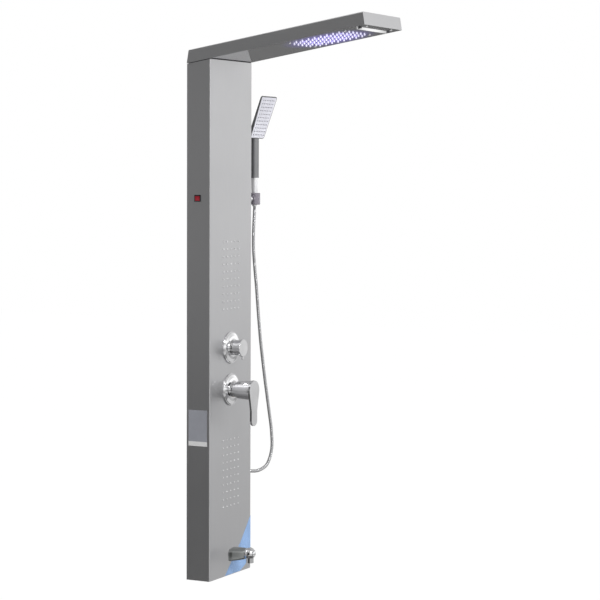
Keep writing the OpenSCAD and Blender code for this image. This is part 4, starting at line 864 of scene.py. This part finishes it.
class SHOWER_OT_mixer(bpy.types.Operator):
    """Dress the mixer's flange, neck, handle and valve"""

    bl_idname = "shower.mixer"
    bl_label = "Mixer"

    def execute(self, context):
        colours = finishes()
        lever = finish(
            "bright lever", colours.lever, 0.10, metallic=1.0, stretch=(1, 1, 0.1), grain_scale=700.0,
            grain=0.05, bump=0.01, rough_spread=0.03,
        )
        cartridge = finish("cartridge white", colours.box_white, 0.4, grain_scale=200.0)
        dress(chrome_finish(), "mixer_flange", "mixer_neck")
        dress(lever, "mixer_lever")
        dress(cartridge, "mixer_cartridge", "mixer_carrier")
        dress(brass_finish(), "mixer_valve", "mixer_stem")
        return {"FINISHED"}


class SHOWER_OT_spout(bpy.types.Operator):
    """Dress the bath spout"""

    bl_idname = "shower.spout"
    bl_label = "Spout"

    def execute(self, context):
        colours = finishes()
        # Painted shade: a darker copy of the chrome, which deepens the spout's dark reflections
        darkened_chrome = finish(
            "dark bright metal", colours.spout, 0.32, metallic=0.95, grain_scale=260.0, grain=0.06,
            bump=0.015, rough_spread=0.04,
        )
        piece = crowned_spout()
        piece.data.materials.append(darkened_chrome)
        # The front face shows only a faint mirror image of it
        piece.visible_glossy = False
        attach(piece, "panel")
        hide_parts("spout_body")
        dress(chrome_finish(), "spout_end", "spout_aerator")
        dress(brass_finish(), "spout_nut", "side_nuts")
        return {"FINISHED"}


class SHOWER_OT_switch(bpy.types.Operator):
    """Dress the light switch, its driver and its cable"""

    bl_idname = "shower.switch"
    bl_label = "Light switch"

    def execute(self, context):
        colours = finishes()
        black = finish("black moulding", colours.black, 0.42, grain_scale=500.0, grain=0.2, bump=0.12)
        red = finish("red rocker", colours.rocker, 0.3, grain_scale=300.0, bump=0.03, coat=0.3)
        dress(black, "switch_housing", "led_driver", "led_cable")
        dress(red, "switch_rocker")
        return {"FINISHED"}


class SHOWER_OT_pipes(bpy.types.Operator):
    """Dress the water tubes inside the column"""

    bl_idname = "shower.pipes"
    bl_label = "Inner tubes"

    def execute(self, context):
        tube = finish(
            "woven tube", finishes().tube, 0.36, metallic=0.3, grain_scale=900.0, grain=0.25, bump=0.25
        )
        dress(tube, "feed_pipe", "rain_pipe", "waterfall_pipe", "jet_pipes", "spout_pipe", "handset_pipe")
        return {"FINISHED"}


class SHOWER_OT_handset(bpy.types.Operator):
    """Dress the handset, its cradle and the fittings of its hose"""

    bl_idname = "shower.handset"
    bl_label = "Handset"

    def execute(self, context):
        colours = finishes()
        grey = finish(
            "handset grey", colours.head_grey, 0.22, metallic=0.35, grain_scale=300.0, grain=0.06,
            bump=0.015, coat=0.5
        )
        cradle = finish("cradle grey", colours.cradle_grey, 0.30, metallic=0.3, grain_scale=300.0, coat=0.4)
        face = finish("spray face", colours.face, 0.22, grain_scale=120.0, grain=0.04, bump=0.01, coat=0.4)
        # Painted light: a faint glow that lifts the spray face
        shader = face.node_tree.nodes["Principled BSDF"]
        shader.inputs["Emission Color"].default_value = colours.face_painted_light
        shader.inputs["Emission Strength"].default_value = FACE_PAINTED_GLOW
        dots = finish("spray nozzles", colours.spray_dots, 0.55, grain_scale=200.0)
        shell = tapered_shell()
        shell.data.materials.append(grey)
        shell.visible_glossy = False
        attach(shell, "handset")
        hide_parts("handset_shell")
        dress(grey, "handset_handle")
        dress(cradle, "holder_cradle")
        dress(face, "handset_face")
        dress(dots, "handset_nozzles")
        # Painted highlight: a lighter, half-matt copy of the chrome that makes the cone shine white
        pale = finish(
            "pale chrome", colours.cone, 0.45, metallic=0.5, grain_scale=300.0, grain=0.05, bump=0.01,
            coat=0.5
        )
        dress(pale, "handset_cone")
        dress(chrome_finish(), "holder_base", "hose_outlet", "hose_nut_lower")
        # The handset would show as a dark patch in the front face
        for name in ("handset_face", "handset_nozzles", "handset_handle"):
            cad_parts[name].visible_glossy = False
        return {"FINISHED"}


class SHOWER_OT_film(bpy.types.Operator):
    """Lay the remaining strip of protective film across the column's lower right corner"""

    bl_idname = "shower.film"
    bl_label = "Protective film"

    def execute(self, context):
        # Corners of the strip across the front face, in millimetres
        outline = [(99, 127), (50, 70), (12, 36), (-26, 1), (48, 1), (72, 12), (99, 26)]
        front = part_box("column_shell")[0].y
        points = [(x * MM, front, z * MM) for x, z in outline]
        piece = thin_plate("protective_film", points, (0, -1, 0), sizes().film_t)
        film = finish(
            "blue film", finishes().film, 0.24, grain_scale=60.0, grain=0.10, bump=0.05, tone_spread=0.08,
            coat=0.3
        )
        piece.data.materials.append(film)
        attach(piece, "panel")
        return {"FINISHED"}


class SHOWER_OT_label(bpy.types.Operator):
    """Stick the bare label and its pale strip on the column's left side"""

    bl_idname = "shower.label"
    bl_label = "Bare label"

    def execute(self, context):
        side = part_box("column_shell")[0].x
        size = sizes()
        colours = finishes()
        # Name, front and rear edge, lower and upper edge in millimetres, finish, colour and roughness
        areas = [
            ("bare_label", (-55.0, -5.9), (325.0, 398.0), "label grey", colours.label, 0.4),
            ("label_strip", (-55.0, -5.9), (314.5, 325.0), "label white", colours.label_strip, 0.5),
        ]
        for name, (front, rear), (low, high), finish_name, colour, roughness in areas:
            corners = ((front, low), (rear, low), (rear, high), (front, high))
            points = [(side, y * MM, z * MM) for y, z in corners]
            piece = thin_plate(name, points, (-1, 0, 0), size.label_t)
            piece.data.materials.append(
                finish(finish_name, colour, roughness, grain_scale=120.0, grain=0.06, bump=0.01)
            )
            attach(piece, "panel")
        return {"FINISHED"}


class SHOWER_OT_stage(bpy.types.Operator):
    """Set the floor, the wall that metal mirrors, the lamps and the room"""

    bl_idname = "shower.stage"
    bl_label = "Stage"

    def execute(self, context):
        view = studio()
        self.floor(view)
        self.mirrored_wall(view)
        lamps = [
            ("key", (-1.7, -3.4, 3.0), view.key_power, 0.9, True),
            ("fill", (1.6, -3.6, 0.8), view.fill_power, 2.0, False),
            ("top", (0.3, -1.6, 3.0), view.top_power, 1.4, False),
        ]
        for name, place, power, size, mirrored in lamps:
            data = bpy.data.lights.new(name, "AREA")
            data.energy = power
            data.size = size
            lamp = bpy.data.objects.new(name, data)
            lamp.location = place
            lamp.visible_glossy = mirrored
            aim = LAMP_TARGET - Vector(place)
            lamp.rotation_euler = aim.to_track_quat("-Z", "Y").to_euler()
            context.scene.collection.objects.link(lamp)
        self.mirrored_room(view)
        context.scene.view_settings.view_transform = "Standard"
        return {"FINISHED"}

    def card(self, name, corners):
        bm = bmesh.new()
        bm.faces.new([bm.verts.new(corner) for corner in corners])
        piece = mesh_object(name, bm, smooth=False)
        return piece

    def floor(self, view):
        reach = 14.0
        piece = self.card("floor", [(-reach, -reach, view.floor_z), (reach, -reach, view.floor_z),
                                    (reach, reach, view.floor_z), (-reach, reach, view.floor_z)])
        piece.visible_glossy = False
        material = bpy.data.materials.new("pale floor")
        material.use_nodes = True
        nodes, links = material.node_tree.nodes, material.node_tree.links
        shader = nodes["Principled BSDF"]
        shader.inputs["Base Color"].default_value = (FLOOR_TONE,) * 3 + (1,)
        shader.inputs["Roughness"].default_value = 0.8
        white = nodes.new("ShaderNodeEmission")
        white.inputs["Strength"].default_value = FLOOR_WHITE
        rays = nodes.new("ShaderNodeLightPath")
        share = nodes.new("ShaderNodeMath")
        share.operation = "MULTIPLY"
        share.inputs[1].default_value = FLOOR_WHITE_SHARE
        blend = nodes.new("ShaderNodeMixShader")
        links.new(rays.outputs["Is Camera Ray"], share.inputs[0])
        links.new(share.outputs[0], blend.inputs["Fac"])
        links.new(shader.outputs["BSDF"], blend.inputs[1])
        links.new(white.outputs["Emission"], blend.inputs[2])
        links.new(blend.outputs[0], nodes["Material Output"].inputs["Surface"])
        piece.data.materials.append(material)

    def mirrored_wall(self, view):
        """A darker banded wall behind the panel that only mirror rays meet."""
        behind, reach, low = 1.2, 7.0, -5.0
        piece = self.card("mirrored_wall", [(-reach, behind, low), (reach, behind, low),
                                            (reach, behind, reach), (-reach, behind, reach)])
        material = bpy.data.materials.new("banded wall")
        material.use_nodes = True
        nodes, links = material.node_tree.nodes, material.node_tree.links
        nodes.remove(nodes["Principled BSDF"])
        height = nodes.new("ShaderNodeSeparateXYZ")
        links.new(nodes.new("ShaderNodeTexCoord").outputs["Object"], height.inputs[0])
        tone = nodes.new("ShaderNodeEmission")
        tone.inputs["Strength"].default_value = view.wall_gloss
        bands = tone_bands(material.node_tree, height.outputs["Z"], low, reach, WALL_BANDS)
        across = nodes.new("ShaderNodeMapRange")
        across.inputs["From Min"].default_value = WALL_FADE[0]
        across.inputs["From Max"].default_value = WALL_FADE[1]
        across.inputs["To Min"].default_value = 1.0
        across.inputs["To Max"].default_value = WALL_RIGHT_SHARE
        dimmed = nodes.new("ShaderNodeVectorMath")
        dimmed.operation = "SCALE"
        links.new(height.outputs["X"], across.inputs["Value"])
        links.new(bands, dimmed.inputs[0])
        links.new(across.outputs["Result"], dimmed.inputs["Scale"])
        links.new(dimmed.outputs[0], tone.inputs["Color"])
        links.new(tone.outputs["Emission"], nodes["Material Output"].inputs["Surface"])
        piece.data.materials.append(material)
        piece.visible_camera = False
        piece.visible_diffuse = False
        piece.visible_shadow = False
        piece.visible_transmission = False
        piece.visible_volume_scatter = False

    def mirrored_room(self, view):
        """White for the camera, soft light for matt surfaces and banded tones for mirror rays."""
        world = bpy.data.worlds.new("room")
        bpy.context.scene.world = world
        world.use_nodes = True
        nodes, links = world.node_tree.nodes, world.node_tree.links
        soft = nodes["Background"]
        soft.inputs["Color"].default_value = (1, 1, 1, 1)
        soft.inputs["Strength"].default_value = view.room_light
        gloss = nodes.new("ShaderNodeBackground")
        gloss.inputs["Strength"].default_value = view.room_gloss
        height = nodes.new("ShaderNodeSeparateXYZ")
        links.new(nodes.new("ShaderNodeTexCoord").outputs["Generated"], height.inputs[0])
        sideways = nodes.new("ShaderNodeMapRange")
        sideways.inputs["From Min"].default_value = ROOM_LEFT[0]
        sideways.inputs["From Max"].default_value = ROOM_LEFT[1]
        sideways.inputs["To Min"].default_value = ROOM_LEFT_SHARE
        dimmed = nodes.new("ShaderNodeVectorMath")
        dimmed.operation = "SCALE"
        links.new(height.outputs["X"], sideways.inputs["Value"])
        links.new(tone_bands(world.node_tree, height.outputs["Z"], -1.0, 1.0, ROOM_BANDS), dimmed.inputs[0])
        links.new(sideways.outputs["Result"], dimmed.inputs["Scale"])
        links.new(dimmed.outputs[0], gloss.inputs["Color"])
        white = nodes.new("ShaderNodeBackground")
        white.inputs["Color"].default_value = (1, 1, 1, 1)
        rays = nodes.new("ShaderNodeLightPath")
        either = nodes.new("ShaderNodeMath")
        either.operation = "MAXIMUM"
        first, second = nodes.new("ShaderNodeMixShader"), nodes.new("ShaderNodeMixShader")
        links.new(rays.outputs["Is Glossy Ray"], either.inputs[0])
        links.new(rays.outputs["Is Transmission Ray"], either.inputs[1])
        links.new(either.outputs[0], first.inputs["Fac"])
        links.new(soft.outputs[0], first.inputs[1])
        links.new(gloss.outputs[0], first.inputs[2])
        links.new(rays.outputs["Is Camera Ray"], second.inputs["Fac"])
        links.new(first.outputs[0], second.inputs[1])
        links.new(white.outputs[0], second.inputs[2])
        links.new(second.outputs[0], nodes["World Output"].inputs["Surface"])


OPERATORS = (
    SHOWER_OT_camera,
    SHOWER_OT_hose,
    SHOWER_OT_sheet_metal,
    SHOWER_OT_rain_head,
    SHOWER_OT_body_jets,
    SHOWER_OT_diverter,
    SHOWER_OT_mixer,
    SHOWER_OT_spout,
    SHOWER_OT_switch,
    SHOWER_OT_pipes,
    SHOWER_OT_handset,
    SHOWER_OT_film,
    SHOWER_OT_label,
    SHOWER_OT_stage,
)


class SHOWER_PT_panel(bpy.types.Panel):
    """Settings and steps of the shower panel's looks"""

    bl_idname = "SHOWER_PT_panel"
    bl_label = "Shower panel"
    bl_space_type = "VIEW_3D"
    bl_region_type = "UI"
    bl_category = "Shower panel"

    def draw(self, context):
        scene = context.scene
        for settings in (scene.shower_finishes, scene.shower_sizes, scene.shower_studio):
            for name in settings.__annotations__:
                self.layout.prop(settings, name)
        for operator in OPERATORS:
            self.layout.operator(operator.bl_idname)


SETTINGS = (ShowerFinishes, ShowerSizes, ShowerStudio)


def register():
    for item in (*SETTINGS, *OPERATORS, SHOWER_PT_panel):
        bpy.utils.register_class(item)
    bpy.types.Scene.shower_finishes = PointerProperty(type=ShowerFinishes)
    bpy.types.Scene.shower_sizes = PointerProperty(type=ShowerSizes)
    bpy.types.Scene.shower_studio = PointerProperty(type=ShowerStudio)


def unregister():
    del bpy.types.Scene.shower_studio
    del bpy.types.Scene.shower_sizes
    del bpy.types.Scene.shower_finishes
    for item in reversed((*SETTINGS, *OPERATORS, SHOWER_PT_panel)):
        bpy.utils.unregister_class(item)


def main():
    register()
    for operator in OPERATORS:
        category, name = operator.bl_idname.split(".")
        getattr(getattr(bpy.ops, category), name)()


if __name__ == "__main__":
    main()
